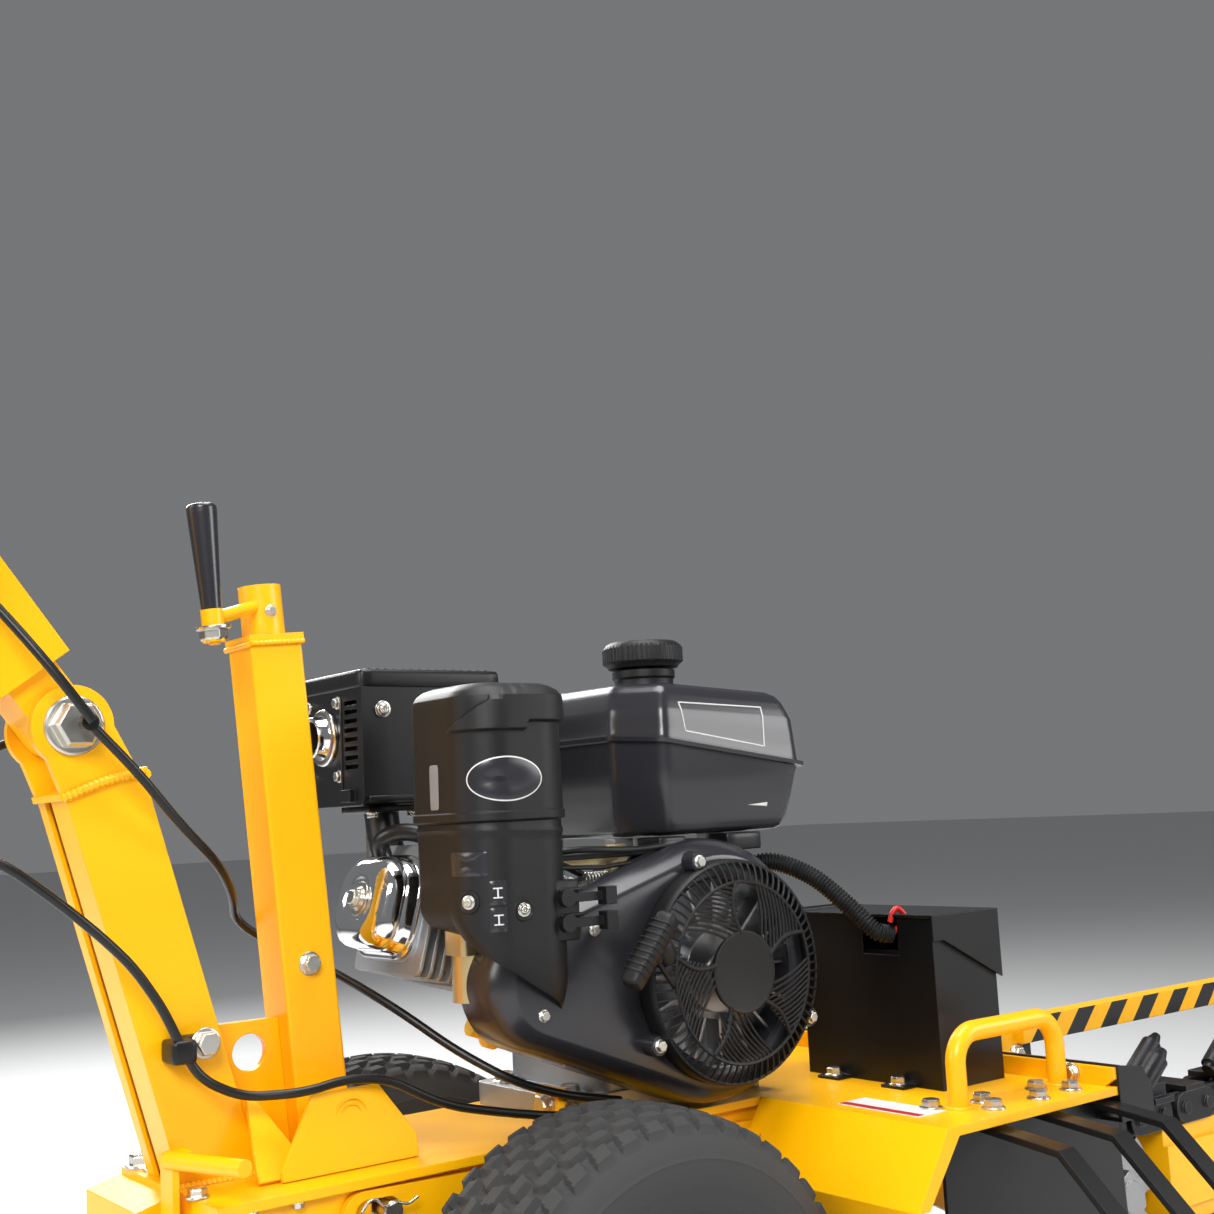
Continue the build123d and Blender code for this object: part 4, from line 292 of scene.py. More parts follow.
def use_group(tree, name, **values):
    """Places a shared effect with its own values."""
    node = tree.nodes.new("ShaderNodeGroup")
    node.node_tree = bpy.data.node_groups[name]
    for label, value in values.items():
        node.inputs[label.replace("_", " ")].default_value = value
    return node


def finish(name, colour, roughness, metallic=0.0, grain=900.0, bump=0.05, depth=0.0003, cloud=14.0,
           spread=0.12,
           shade=0.82, edge=0.0, edge_colour=(1, 1, 1), coat=0.0, specular=0.5, pattern=None):
    """A procedural finish: a clouded colour, varied roughness, a fine bump and edges painted lighter, partly
    as wear and partly as painted highlight.
    """
    material = bpy.data.materials.new(name)
    material.use_nodes = True
    tree = material.node_tree
    shader = tree.nodes["Principled BSDF"]
    shader.inputs["Metallic"].default_value = metallic
    shader.inputs["Coat Weight"].default_value = coat
    shader.inputs["Coat Roughness"].default_value = 0.12
    shader.inputs["Specular IOR Level"].default_value = specular
    surface = use_group(tree, "Surface Grain", Grain_Size=grain, Cloud_Size=cloud, Roughness=roughness,
                        Spread=spread)
    mix = tree.nodes.new("ShaderNodeMix")
    mix.data_type = "RGBA"
    mix.inputs[6].default_value = (*[c * shade for c in colour], 1)
    mix.inputs[7].default_value = (*colour, 1)
    tree.links.new(surface.outputs["Tone"], mix.inputs[0])
    result = mix.outputs[2]
    if pattern:
        result = pattern(tree, result)
    # edges are mixed towards edge_colour: a painted highlight on the yellow coat, partly wear and partly
    # painted highlight on the black finishes and the chain steel
    if edge:
        wear_and_highlight = use_group(tree, "Edge Wear And Highlight", Width=0.0015, Amount=edge)
        lift = tree.nodes.new("ShaderNodeMix")
        lift.data_type = "RGBA"
        lift.inputs[7].default_value = (*edge_colour, 1)
        tree.links.new(wear_and_highlight.outputs["Mask"], lift.inputs[0])
        tree.links.new(result, lift.inputs[6])
        result = lift.outputs[2]
    tree.links.new(result, shader.inputs["Base Color"])
    tree.links.new(surface.outputs["Roughness"], shader.inputs["Roughness"])
    bumped = tree.nodes.new("ShaderNodeBump")
    bumped.inputs["Strength"].default_value = bump
    bumped.inputs["Distance"].default_value = depth
    tree.links.new(surface.outputs["Height"], bumped.inputs["Height"])
    rounded = tree.nodes.new("ShaderNodeBevel")
    rounded.samples = 4
    rounded.inputs["Radius"].default_value = 0.0016
    tree.links.new(rounded.outputs["Normal"], bumped.inputs["Normal"])
    tree.links.new(bumped.outputs["Normal"], shader.inputs["Normal"])
    return material


def dark_above(level):
    """Turns the colour dark over a height, for a casting that stands on a bright bowl."""
    def paint(tree, colour):
        where = tree.nodes.new("ShaderNodeTexCoord").outputs["Object"]
        split = tree.nodes.new("ShaderNodeSeparateXYZ")
        tree.links.new(where, split.inputs[0])
        mask = math_node(tree, "GREATER_THAN", split.outputs["Z"], level)
        mix = tree.nodes.new("ShaderNodeMix")
        mix.data_type = "RGBA"
        mix.inputs[7].default_value = (0.02, 0.02, 0.022, 1)
        tree.links.new(mask, mix.inputs[0])
        tree.links.new(colour, mix.inputs[6])
        return mix.outputs[2]
    return paint


def warning_stripes(spacing):
    """Slanted bands of black over the coat, from the sum of two Object coordinates."""
    def paint(tree, colour):
        where = tree.nodes.new("ShaderNodeTexCoord").outputs["Object"]
        split = tree.nodes.new("ShaderNodeSeparateXYZ")
        tree.links.new(where, split.inputs[0])
        slanted = math_node(tree, "ADD", split.outputs["X"],
                            math_node(tree, "MULTIPLY", split.outputs["Z"], -1.0))
        phase = math_node(tree, "FRACT", math_node(tree, "DIVIDE", slanted, spacing))
        band = math_node(tree, "GREATER_THAN", phase, 0.5)
        side = tree.nodes.new("ShaderNodeNewGeometry")
        faces = tree.nodes.new("ShaderNodeSeparateXYZ")
        tree.links.new(side.outputs["Normal"], faces.inputs[0])
        near = math_node(tree, "LESS_THAN", faces.outputs["Y"], -0.5)
        start = math_node(tree, "GREATER_THAN", split.outputs["X"], 0.536)
        mask = math_node(tree, "MULTIPLY", math_node(tree, "MULTIPLY", band, near), start)
        mix = tree.nodes.new("ShaderNodeMix")
        mix.data_type = "RGBA"
        mix.inputs[7].default_value = (0.01, 0.01, 0.01, 1)
        tree.links.new(mask, mix.inputs[0])
        tree.links.new(colour, mix.inputs[6])
        return mix.outputs[2]
    return paint


class TRENCHER_OT_finishes(bpy.types.Operator):
    """Makes every finish and paints the carried-over frame pieces"""

    bl_idname = "trencher.finishes"
    bl_label = "Finishes"

    def execute(self, context):
        look = context.scene.trencher_finish
        yellow, black, plastic = tuple(look.yellow), tuple(look.black), tuple(look.plastic)
        build_grain()
        build_edge_wear_and_highlight()
        # the brighter yellow on the edges is a painted highlight
        finish("yellow_coat", yellow, 0.36, grain=420, bump=0.12, depth=0.0004, edge=0.5,
               edge_colour=(1.0, 0.60, 0.06), coat=0.12, specular=0.35, shade=0.94)
        finish("hazard_coat", yellow, 0.38, grain=420, bump=0.1, coat=0.1, specular=0.35,
               pattern=warning_stripes(look.stripe))
        # the lighter grey on the edges is partly wear and partly painted highlight
        finish("black_coat", black, 0.36, grain=700, bump=0.12, edge=0.5, edge_colour=(0.06, 0.06, 0.06),
               specular=0.4, shade=0.6)
        finish("gloss_black", black, 0.16, grain=300, bump=0.03, spread=0.1, coat=0.25, specular=0.4,
               shade=0.6)
        finish("moulded_black", plastic, 0.46, grain=1500, bump=0.4, depth=0.0004, specular=0.32, shade=0.65,
               edge=0.3, edge_colour=(0.05, 0.05, 0.05))
        finish("zinc_plate", (0.70, 0.68, 0.62), 0.28, 1.0, grain=260, bump=0.1, spread=0.25, shade=0.75)
        finish("machined_steel", (0.42, 0.42, 0.43), 0.35, 1.0, grain=500, bump=0.15, spread=0.3, shade=0.7)
        finish("oiled_steel", (0.035, 0.035, 0.038), 0.42, 0.8, grain=380, bump=0.4, depth=0.0006, spread=0.4,
               shade=0.45, edge=1.2, edge_colour=(0.5, 0.5, 0.5))
        finish("cast_aluminium", (0.52, 0.53, 0.54), 0.48, 0.9, grain=800, bump=0.5, depth=0.0006, spread=0.2,
               shade=0.7)
        finish("polished_chrome", (0.86, 0.86, 0.87), 0.07, 1.0, grain=60, bump=0.02, spread=0.05, shade=0.95)
        finish("heat_steel", (0.28, 0.25, 0.22), 0.4, 1.0, grain=300, bump=0.2, spread=0.3, shade=0.6)
        finish("tyre_rubber", (0.009, 0.009, 0.0095), 0.6, grain=700, bump=0.5, depth=0.0005, cloud=9,
               specular=0.4,
               shade=0.55)
        finish("cable_rubber", (0.006, 0.006, 0.006), 0.34, grain=900, bump=0.15, specular=0.4, shade=0.7)
        finish("brass_bowl", (0.5, 0.36, 0.15), 0.3, 0.9, grain=300, bump=0.1, shade=0.75,
               pattern=dark_above(0.520))
        finish("yellow_plastic", (0.86, 0.40, 0.01), 0.42, grain=900, bump=0.2, shade=0.85)
        finish("white_rim", (0.72, 0.72, 0.70), 0.35, grain=420, bump=0.1, coat=0.3, shade=0.9)
        finish("red_lead", (0.6, 0.01, 0.01), 0.4, grain=900, bump=0.1, shade=0.8)
        finish("label_white", (0.68, 0.68, 0.66), 0.42, grain=900, bump=0.03, shade=0.95)
        finish("label_red", (0.45, 0.02, 0.02), 0.42, grain=900, bump=0.03, shade=0.95)
        finish("label_grey", (0.22, 0.22, 0.23), 0.42, grain=900, bump=0.03, shade=0.95)
        chosen = {"yellow_paint": "yellow_coat", "black_paint": "black_coat", "hazard_paint": "hazard_coat",
                  "zinc": "zinc_plate", "steel": "machined_steel", "chain_steel": "oiled_steel",
                  "bare_aluminium": "cast_aluminium", "chrome": "polished_chrome",
                  "black_plastic": "moulded_black",
                  "gloss_black": "gloss_black", "tyre_rubber": "tyre_rubber", "rubber": "cable_rubber",
                  "brass_bowl": "brass_bowl", "yellow_plastic": "yellow_plastic", "rim_paint": "white_rim"}
        special = {"muffler": "heat_steel", "fuel_tank": "gloss_black", "jack_leg": "zinc_plate"}
        slots = {row["node"]: row["material_slot"] for row in frame["record"]["subparts"]}
        for node, thing in frame["nodes"].items():
            finish_name = special.get(node, chosen[slots[node]])
            thing.data.materials.clear()
            thing.data.materials.append(bpy.data.materials[finish_name])
        return {"FINISHED"}


# ------------------------------------------------------------------ pieces
def tyre_mesh(node, settings):
    """A carcass with tread: r(t, y) = crown(y) + depth * blocks(t, y), blocks staggered row by row."""
    low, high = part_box(node)
    middle = (low + high) / 2
    radius = (high.z - low.z) / 2
    half = (high.y - low.y) / 2
    bead = 0.1036
    # cross-section from the inner bead over the crown to the outer bead, as (y, r)
    shoulder = np.array([(-0.72, bead), (-0.74, bead + 0.011), (-0.90, bead + 0.024), (-0.985, bead + 0.045),
                         (-0.995, bead + 0.062), (-0.93, radius - 0.026), (-0.80, radius - 0.0145),
                         (-0.6, radius - 0.0095), (-0.3, radius - 0.0066), (0.0, radius - 0.006)])
    section = np.concatenate([shoulder, shoulder[-2::-1] * (-1, 1)])
    line = curve_through(np.c_[section, np.zeros(len(section))], 7)[:, :2]
    y, r = line[:, 0] * half, line[:, 1]
    turns = settings.pitches * 14
    t = np.linspace(0, TAU, turns, endpoint=False)
    across = y / half
    row = np.floor((across + 0.86) / 1.72 * settings.rows)
    inside_row = (across + 0.86) / 1.72 * settings.rows % 1.0
    outer = np.abs(across) > 0.52
    slant = np.where(row % 2 == 0, 0.22, -0.22) * (inside_row - 0.5)
    phase = (t[:, None] / TAU * settings.pitches + 0.5 * (row % 2)[None] + slant[None]) % 1.0
    gap = np.where(outer, 0.30, 0.26)[None]
    along = np.clip((np.minimum(phase, 1 - phase) - gap / 2) / 0.05, 0, 1)
    sides = np.clip((0.5 - np.abs(inside_row - 0.5) - 0.10) / 0.05, 0, 1)
    blocks = along * sides[None] * (np.abs(across) < 0.86) * (r > radius - 0.032)
    # small ribs on the sidewall
    ribs = 0.0008 * (np.sin(r * 900) > 0.6) * (r < radius - 0.035) * (r > bead + 0.03)
    height = r[None] + settings.tread * blocks
    height = np.minimum(height, radius - 0.0001)
    wide = y[None] + np.sign(y)[None] * ribs[None] + np.zeros_like(t)[:, None]
    wide = np.clip(wide, -half + 0.0001, half - 0.0001)
    points = np.stack([middle.x + height * np.cos(t)[:, None], middle.y + wide,
                       middle.z + height * np.sin(t)[:, None]], -1)
    # inner wall closes the carcass between the beads
    inner_y = np.linspace(y[-1], y[0], 6)[1:-1]
    back = np.stack([middle.x + (bead + 0.004) * np.cos(t)[:, None] + 0 * inner_y,
                     middle.y + inner_y[None] + 0 * t[:, None],
                     middle.z + (bead + 0.004) * np.sin(t)[:, None] + 0 * inner_y], -1)
    return grid(np.concatenate([points, back], 1), wrap_u=True, wrap_v=True)


def whiskers(node, seed):
    """Moulding vents: short thin hairs that stand on the tread."""
    low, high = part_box(node)
    middle = (low + high) / 2
    radius = (high.z - low.z) / 2
    rng = np.random.default_rng(seed)
    parts = []
    for angle in np.linspace(0, TAU, 90, endpoint=False):
        across = rng.uniform(-0.055, 0.055)
        out = np.array([math.cos(angle), rng.uniform(-0.3, 0.3), math.sin(angle)])
        foot = np.array([middle.x, middle.y + across, middle.z]) + (radius - 0.010) * np.array(
            [math.cos(angle), 0, math.sin(angle)])
        parts.append(tube([foot, foot + out * 0.0045, foot + out * 0.009], [0.0006, 0.0005, 0.0003], 5))
    return joined(parts)


class TRENCHER_OT_tyres(bpy.types.Operator):
    """Builds both drive tyres with their turf tread"""

    bl_idname = "trencher.tyres"
    bl_label = "Drive tyres"

    def execute(self, context):
        settings = context.scene.trencher_tyre
        for side, seed in (("right", 3), ("left", 5)):
            node = side + "_tyre"
            piece(side + "_tread_tyre", tyre_mesh(node, settings), side + "_wheel",
                  "tyre_rubber",
                  (node,), 40)
            piece(side + "_tyre_vents", whiskers(node, seed), side + "_wheel", "tyre_rubber")
        return {"FINISHED"}


ENGINE = np.array([0.177, 0.0, 0.503])      # crankshaft axis
JACK_LEAN = math.radians(5)                 # the jack column leans back
JACK_X = -0.183                             # its middle at deck height


# ------------------------------------------------------------------ rings and walls
def rounded(half_x, half_y, near, far, count=14):
    """A rounded rectangle in plan: four arcs, radius near at low Y and far at high Y."""
    corners = ((1, 1, far, 0), (-1, 1, far, 1), (-1, -1, near, 2), (1, -1, near, 3))
    points = []
    for sx, sy, r, quarter in corners:
        t = (quarter + np.linspace(0, 1, count)) * math.pi / 2
        points.append(np.stack([sx * (half_x - r) + r * np.cos(t), sy * (half_y - r) + r * np.sin(t)], -1))
    return np.concatenate(points)


def capped(points):
    """Rings of points (levels, n, 3) joined into a closed form whose ends are drawn in to a middle point."""
    ends = []
    for ring in (points[0], points[-1]):
        middle = ring.mean(0)
        ends.append(middle + (ring - middle) * 0.02)
    points, faces = grid(np.concatenate([ends[0][None], points, ends[1][None]]), wrap_v=True)
    n = len(ends[0])
    faces.append(list(range(n))[::-1])
    faces.append(list(range(len(points) - n, len(points))))
    return points, faces


def dense(ring, count):
    """A closed plan ring resampled to count points, even along its length."""
    closed = np.concatenate([ring, ring[:1]])
    run = np.r_[0, np.cumsum(np.linalg.norm(np.diff(closed, axis=0), axis=1))]
    s = np.linspace(0, run[-1], count, endpoint=False)
    return np.stack([np.interp(s, run, closed[:, i]) for i in range(2)], -1)


def place(part, origin, x_axis, y_axis, z_axis):
    """A part drawn in its own axes, put at origin along three directions."""
    points, faces = part
    return np.asarray(origin) + points @ np.array([x_axis, y_axis, z_axis]), faces


def badge(ring, height, centre_angle, half_wide, half_high, lift, power=2.0):
    """A thin plate that lies on an upright wall: a superellipse bent along the wall's plan ring."""
    middle = ring.mean(0)
    run = np.r_[0, np.cumsum(np.linalg.norm(np.diff(np.concatenate([ring, ring[:1]]), axis=0), axis=1))]
    closed = np.concatenate([ring, ring[:1]])
    out = ring - middle
    turn = np.unwrap(np.arctan2(out[:, 1], out[:, 0]))
    aim = centre_angle
    while aim < turn.min():
        aim += TAU
    while aim > turn.max():
        aim -= TAU
    start = np.interp(aim, turn, run[:-1])
    t = np.linspace(0, TAU, 64, endpoint=False)
    edge_u = np.sign(np.cos(t)) * np.abs(np.cos(t)) ** (2 / power)
    edge_v = np.sign(np.sin(t)) * np.abs(np.sin(t)) ** (2 / power)
    rings = []
    for scale, rise in ((1.0, -0.0012), (1.0, lift), (0.97, lift + 0.0002), (0.5, lift + 0.0002)):
        s = (start + edge_u * half_wide * scale) % run[-1]
        flat = np.stack([np.interp(s, run, closed[:, i]) for i in range(2)], -1)
        ahead = np.stack([np.interp((s + 0.001) % run[-1], run, closed[:, i]) for i in range(2)], -1)
        along = ahead - flat
        normal = np.stack([along[:, 1], -along[:, 0]], -1)
        normal /= np.linalg.norm(normal, axis=1)[:, None]
        rings.append(np.c_[flat + normal * rise, height + edge_v * half_high * scale])
    return capped(np.array(rings))


def screw(seat, direction, size):
    """A pan-head screw: a rounded head on a washer with a recess."""
    return lathe(seat, direction, [(0, 0), (0, 1.0 * size), (0.18 * size, 1.0 * size),
                                   (0.24 * size, 0.7 * size),
                                   (0.62 * size, 0.6 * size), (0.75 * size, 0.45 * size),
                                   (0.75 * size, 0.26 * size),
                                   (0.4 * size, 0.18 * size), (0.4 * size, 0)], 24)


def weld(points, radius=0.0032):
    """A weld bead: a tube along a line whose radius ripples."""
    path = curve_through(points, 24)
    run = np.r_[0, np.cumsum(np.linalg.norm(np.diff(path, axis=0), axis=1))]
    return tube(path, radius * (1 + 0.16 * np.sin(run * 1400)), 8)


AIR = np.array([-0.061, -0.128])


class TRENCHER_OT_air_cleaner(bpy.types.Operator):
    """Builds the air cleaner's cover, lower body, badges and screws"""

    bl_idname = "trencher.air_cleaner"
    bl_label = "Air cleaner"

    def execute(self, context):
        def ring(inset):
            outline = rounded(0.057 - inset, 0.055 - inset, 0.040 - inset, max(0.012 - inset, 0.004))
            return dense(outline, 240) + AIR

        levels = [(0.6575, 0.0015), (0.659, -0.0012), (0.6655, -0.0012), (0.667, 0.0002)]
        levels += [(z, 0.0002 + 0.0006 * k / 60) for k, z in enumerate(np.linspace(0.668, 0.764, 92))]
        levels += [(0.7685, 0.0018), (0.7735, 0.0052), (0.7775, 0.0102), (0.7802, 0.017), (0.7812, 0.026)]
        rings = []
        for z, inset in levels:
            plan = ring(inset)
            out = plan - AIR
            turn = (np.degrees(np.arctan2(out[:, 1], out[:, 0])) + 360) % 360
            # a raised hood over the near right quarter, with a slanting left edge
            foot = 0.7365 + 0.0075 * np.clip((turn - 269) / 2.0, 0, 1)
            rise = np.clip((z - foot) / 0.0016, 0, 1)
            level = np.clip((z - 0.7365) / 0.041, 0, 1)
            left = 194 + 55 * level + 26 * level ** 5
            inside = np.clip((turn - left) / 2.2, 0, 1) * np.clip((318 - turn) / 4.0, 0, 1)
            swell = 0.65 + 0.35 * np.clip((turn - left) / 40.0, 0, 1)
            fade = 1 - np.clip((z - 0.7705) / 0.010, 0, 1) * 0.7
            push = 0.0062 * rise * inside * fade * swell
            plan = plan + out / np.linalg.norm(out, axis=1)[:, None] * push[:, None]
            rings.append(np.c_[plan, np.full(len(plan), z)])
        piece("filter_cover_shell", capped(np.array(rings)), "filter_cover", "moulded_black",
              ("air_cleaner_cover",), 24)
        plan = ring(0.0004)
        piece("cover_badge_rim", badge(plan, 0.6945, math.radians(-110), 0.0365, 0.0198, 0.0008),
              "filter_cover",
              "label_white")
        piece("cover_badge", badge(plan, 0.6945, math.radians(-110), 0.0352, 0.0185, 0.0011), "filter_cover",
              "gloss_black")
        piece("cover_sticker", badge(plan, 0.690, math.radians(-186), 0.007, 0.020, 0.0005, 9),
              "filter_cover",
              "label_grey")

        # lower body: its lower edge falls from the left to the right
        rings = []
        for k in range(34):
            f = k / 33
            plan = ring(0.0026)
            out = plan - AIR
            turn = (np.degrees(np.arctan2(out[:, 1], out[:, 0])) + 360) % 360
            fall = np.clip((turn - 186) / 150, 0, 1) * (turn < 345)
            low = 0.5665 - 0.084 * fall ** 0.9
            z = 0.6573 + (low - 0.6573) * f
            edge = np.clip((f - 0.8) / 0.2, 0, 1)
            plan = AIR + out * (1 - 0.12 * edge ** 2)
            lip = 0.0016 * (0.06 < f < 0.09)
            plan = plan + out / np.linalg.norm(out, axis=1)[:, None] * lip
            rings.append(np.c_[plan, z])
        piece("filter_body", capped(np.array(rings)), "chassis", "moulded_black",
              ("air_cleaner_base",), 30)
        plan = ring(0.0026)
        piece("body_label", badge(plan, 0.622, math.radians(-146), 0.020, 0.0105, 0.0005, 12), "chassis",
              "gloss_black")
        for name, height in (("upper_icon", 0.5965), ("lower_icon", 0.5735)):
            piece(name, badge(plan, height, math.radians(-121), 0.0078, 0.0105, 0.0005, 10), "chassis",
                  "gloss_black")
            bars = [badge(plan, height + d, math.radians(-121), 0.0042, 0.0006, 0.0009, 8) for d in (-0.004,
                                                                                                     0.004)]
            bars.append(badge(plan, height, math.radians(-121), 0.0007, 0.0045, 0.0009, 8))
            piece(name + "_mark", joined(bars), "chassis", "label_white")
        heads, cups = [], []
        for angle, height in ((-148, 0.5895), (-99, 0.5805)):
            aim = np.array([math.cos(math.radians(angle)), math.sin(math.radians(angle))])
            out = plan - AIR
            reach = out[np.argmax(out @ aim / np.linalg.norm(out, axis=1))]
            seat = np.array([*(AIR + reach), height])
            away = np.array([*aim, 0])
            cups.append(lathe(seat - away * 0.003, away,
                              [(0, 0), (0, 0.0105), (0.0045, 0.0098), (0.005, 0.0088),
                                                          (0.0042, 0.0078), (0.0042, 0)], 32))
            heads.append(screw(seat + away * 0.001, away, 0.0062))
        piece("body_screws", joined(heads), "chassis", "zinc_plate")
        piece("body_screw_cups", joined(cups), "chassis", "moulded_black")
        panel = [soft_box((-0.049, -0.1785, 0.549), (-0.006, -0.150, 0.603), 0.0035)]
        for z in (0.565, 0.587):
            panel.append(soft_box((-0.030, -0.1815, z + 0.0055), (-0.004, -0.172, z + 0.0085), 0.001))
        piece("lever_bracket", joined(panel), "chassis", "moulded_black")
        return {"FINISHED"}


def seam_height(x):
    """Height of the tank's seam, which falls towards the boom."""
    return 0.7345 - 0.145 * (x - 0.105)


class TRENCHER_OT_tank(bpy.types.Operator):
    """Builds the fuel tank, its seam, neck and cap"""

    bl_idname = "trencher.tank"
    bl_label = "Fuel tank and cap"

    def execute(self, context):
        x0, x1, y0, y1 = 0.105, 0.327, -0.138, 0.080
        middle = np.array([(x0 + x1) / 2, (y0 + y1) / 2])
        half = np.array([(x1 - x0) / 2, (y1 - y0) / 2])

        def ring(inset, cut):
            """Plan outline with a slanted near left corner, cut back by cut."""
            hx, hy = half - inset
            outline = np.array([(hx, -hy + 0.012), (hx, hy - 0.012), (hx - 0.012, hy), (-hx + 0.012, hy),
                                (-hx, hy - 0.012), (-hx, -hy + cut), (-hx + cut * 0.62, -hy),
                                (hx - 0.012, -hy)])
            plan = dense(outline, 300)
            for _ in range(5):
                plan = (np.roll(plan, 1, 0) + plan * 2 + np.roll(plan, -1, 0)) / 4
            return plan + middle

        def level(kind, height, inset, cut):
            plan = ring(inset, cut)
            z = np.full(len(plan), height)
            if kind == "seam":
                z = seam_height(plan[:, 0]) + height
            if kind == "top":
                z = height + 0.062 * (x1 - plan[:, 0])
            return np.c_[plan, z]

        shells = [("flat", 0.6345, 0.030, 0.040), ("flat", 0.6355, 0.020, 0.044),
                  ("flat", 0.639, 0.0155, 0.046),
                  ("flat", 0.6465, 0.0125, 0.048), ("flat", 0.668, 0.0075, 0.048),
                  ("flat", 0.690, 0.0035, 0.048),
                  ("seam", -0.0045, 0.0015, 0.048), ("seam", -0.0035, -0.0035, 0.050),
                  ("seam", 0.0005, -0.0042, 0.050), ("seam", 0.0012, 0.0, 0.048),
                  ("seam", 0.004, 0.0008, 0.048),
                  ("top", 0.7475, 0.0035, 0.047), ("top", 0.757, 0.0065, 0.046),
                  ("top", 0.766, 0.0098, 0.045),
                  ("top", 0.7725, 0.0142, 0.044), ("top", 0.7765, 0.0205, 0.042),
                  ("top", 0.778, 0.030, 0.040)]
        rings = [level(*row) for row in shells]
        fine = curve_rings(np.array(rings), 3)
        piece("tank_shell", capped(fine), "chassis", "gloss_black", ("fuel_tank",), 40)
        cap_x, cap_y = 0.179, -0.055
        neck = lathe((cap_x, cap_y, 0.772), (0, 0, 1), [(0, 0.0), (0, 0.036), (0.006, 0.0335), (0.010, 0.031),
                     (0.024, 0.031), (0.026, 0.033), (0.0335, 0.033), (0.0345, 0.030), (0.0345, 0.0)], 64)
        piece("filler_collar", neck, "chassis", "moulded_black")
        t = np.linspace(0, TAU, 288, endpoint=False)
        knurl = 0.0009 * (np.sin(t * 48) > -0.2) + 0.0007 * (np.sin(t * 6) > 0.9)
        rings = []
        for z, r, k in ((0.8085, 0.030, 0), (0.8085, 0.0365, 0), (0.811, 0.0378, 0), (0.8125, 0.0395, 0.2),
                        (0.8145, 0.0408, 1), (0.829, 0.0408, 1), (0.8315, 0.0400, 0.3), (0.8335, 0.0385, 0),
                        (0.8355, 0.0355, 0), (0.8345, 0.031, 0), (0.8345, 0.012, 0)):
            radius = r + knurl * k
            rings.append(np.stack([cap_x + radius * np.cos(t), cap_y + radius * np.sin(t),
                                   np.full_like(t, z)], -1))
        piece("cap_knurled", capped(np.array(rings)), "tank_cap", "moulded_black",
              ("fuel_cap",), 28)

        # blank label on the near face, framed in white, and a level mark
        frame_points = [(0.160, 0.7665), (0.272, 0.7615), (0.269, 0.7205), (0.164, 0.7375), (0.160, 0.7665)]
        parts = []
        for (xa, za), (xb, zb) in zip(frame_points, frame_points[1:]):
            steps = np.linspace(0, 1, 5)
            xs, zs = xa + (xb - xa) * steps, za + (zb - za) * steps
            tops = 0.062 * (x1 - xs)
            depth = np.interp(zs - tops, [0.706, 0.7475, 0.757, 0.766], [0.0008, 0.0035, 0.0065, 0.0098])
            parts.append(tube(np.c_[xs, y0 + depth - 0.0003, zs], 0.0008, 6))
        piece("tank_label_frame", joined(parts), "chassis", "label_white")
        wedge = np.array([(0.247, 0.6612), (0.275, 0.6630), (0.275, 0.6588)])
        depth = np.interp(wedge[:, 1], [0.646, 0.668, 0.690], [0.0125, 0.0075, 0.0035])
        front = np.c_[wedge[:, 0], y0 + depth - 0.0006, wedge[:, 1]]
        back = front + (0, 0.003, 0)
        faces = [[0, 1, 2], [5, 4, 3], [0, 3, 4, 1], [1, 4, 5, 2], [2, 5, 3, 0]]
        piece("level_mark", (np.concatenate([front, back]), faces), "chassis", "label_white")
        # linkage and brackets below the tank
        parts = [soft_box((-0.005, -0.118, 0.617), (0.22, -0.104, 0.623), 0.002),
                 soft_box((0.130, -0.128, 0.622), (0.165, -0.090, 0.634), 0.003),
                 soft_box((0.215, -0.132, 0.616), (0.262, -0.100, 0.634), 0.003),
                 tube([(0.00, -0.122, 0.612), (0.06, -0.124, 0.609), (0.12, -0.122, 0.613)], 0.0022, 8),
                 tube(curve_through([(-0.02, -0.10, 0.622), (0.03, -0.126, 0.627), (0.10, -0.128, 0.624),
                                     (0.16, -0.124, 0.628)], 8), 0.0032, 10)]
        piece("tank_bracket", joined(parts), "chassis", "black_coat")
        coil_t = np.linspace(0, 1, 240)
        coil = np.c_[0.045 + 0.07 * coil_t, -0.118 + 0.004 * np.cos(coil_t * TAU * 18),
                     0.6005 + 0.004 * np.sin(coil_t * TAU * 18)]
        piece("governor_spring", tube(coil, 0.0008, 6), "chassis", "zinc_plate")
        return {"FINISHED"}


def curve_rings(rings, steps):
    """Levels of a loft, filled in: steps - 1 rings are added on the straight line between each two
    neighbours.
    """
    out = []
    for a, b in zip(rings[:-1], rings[1:]):
        for k in range(steps):
            out.append(a + (b - a) * k / steps)
    out.append(rings[-1])
    return np.array(out)


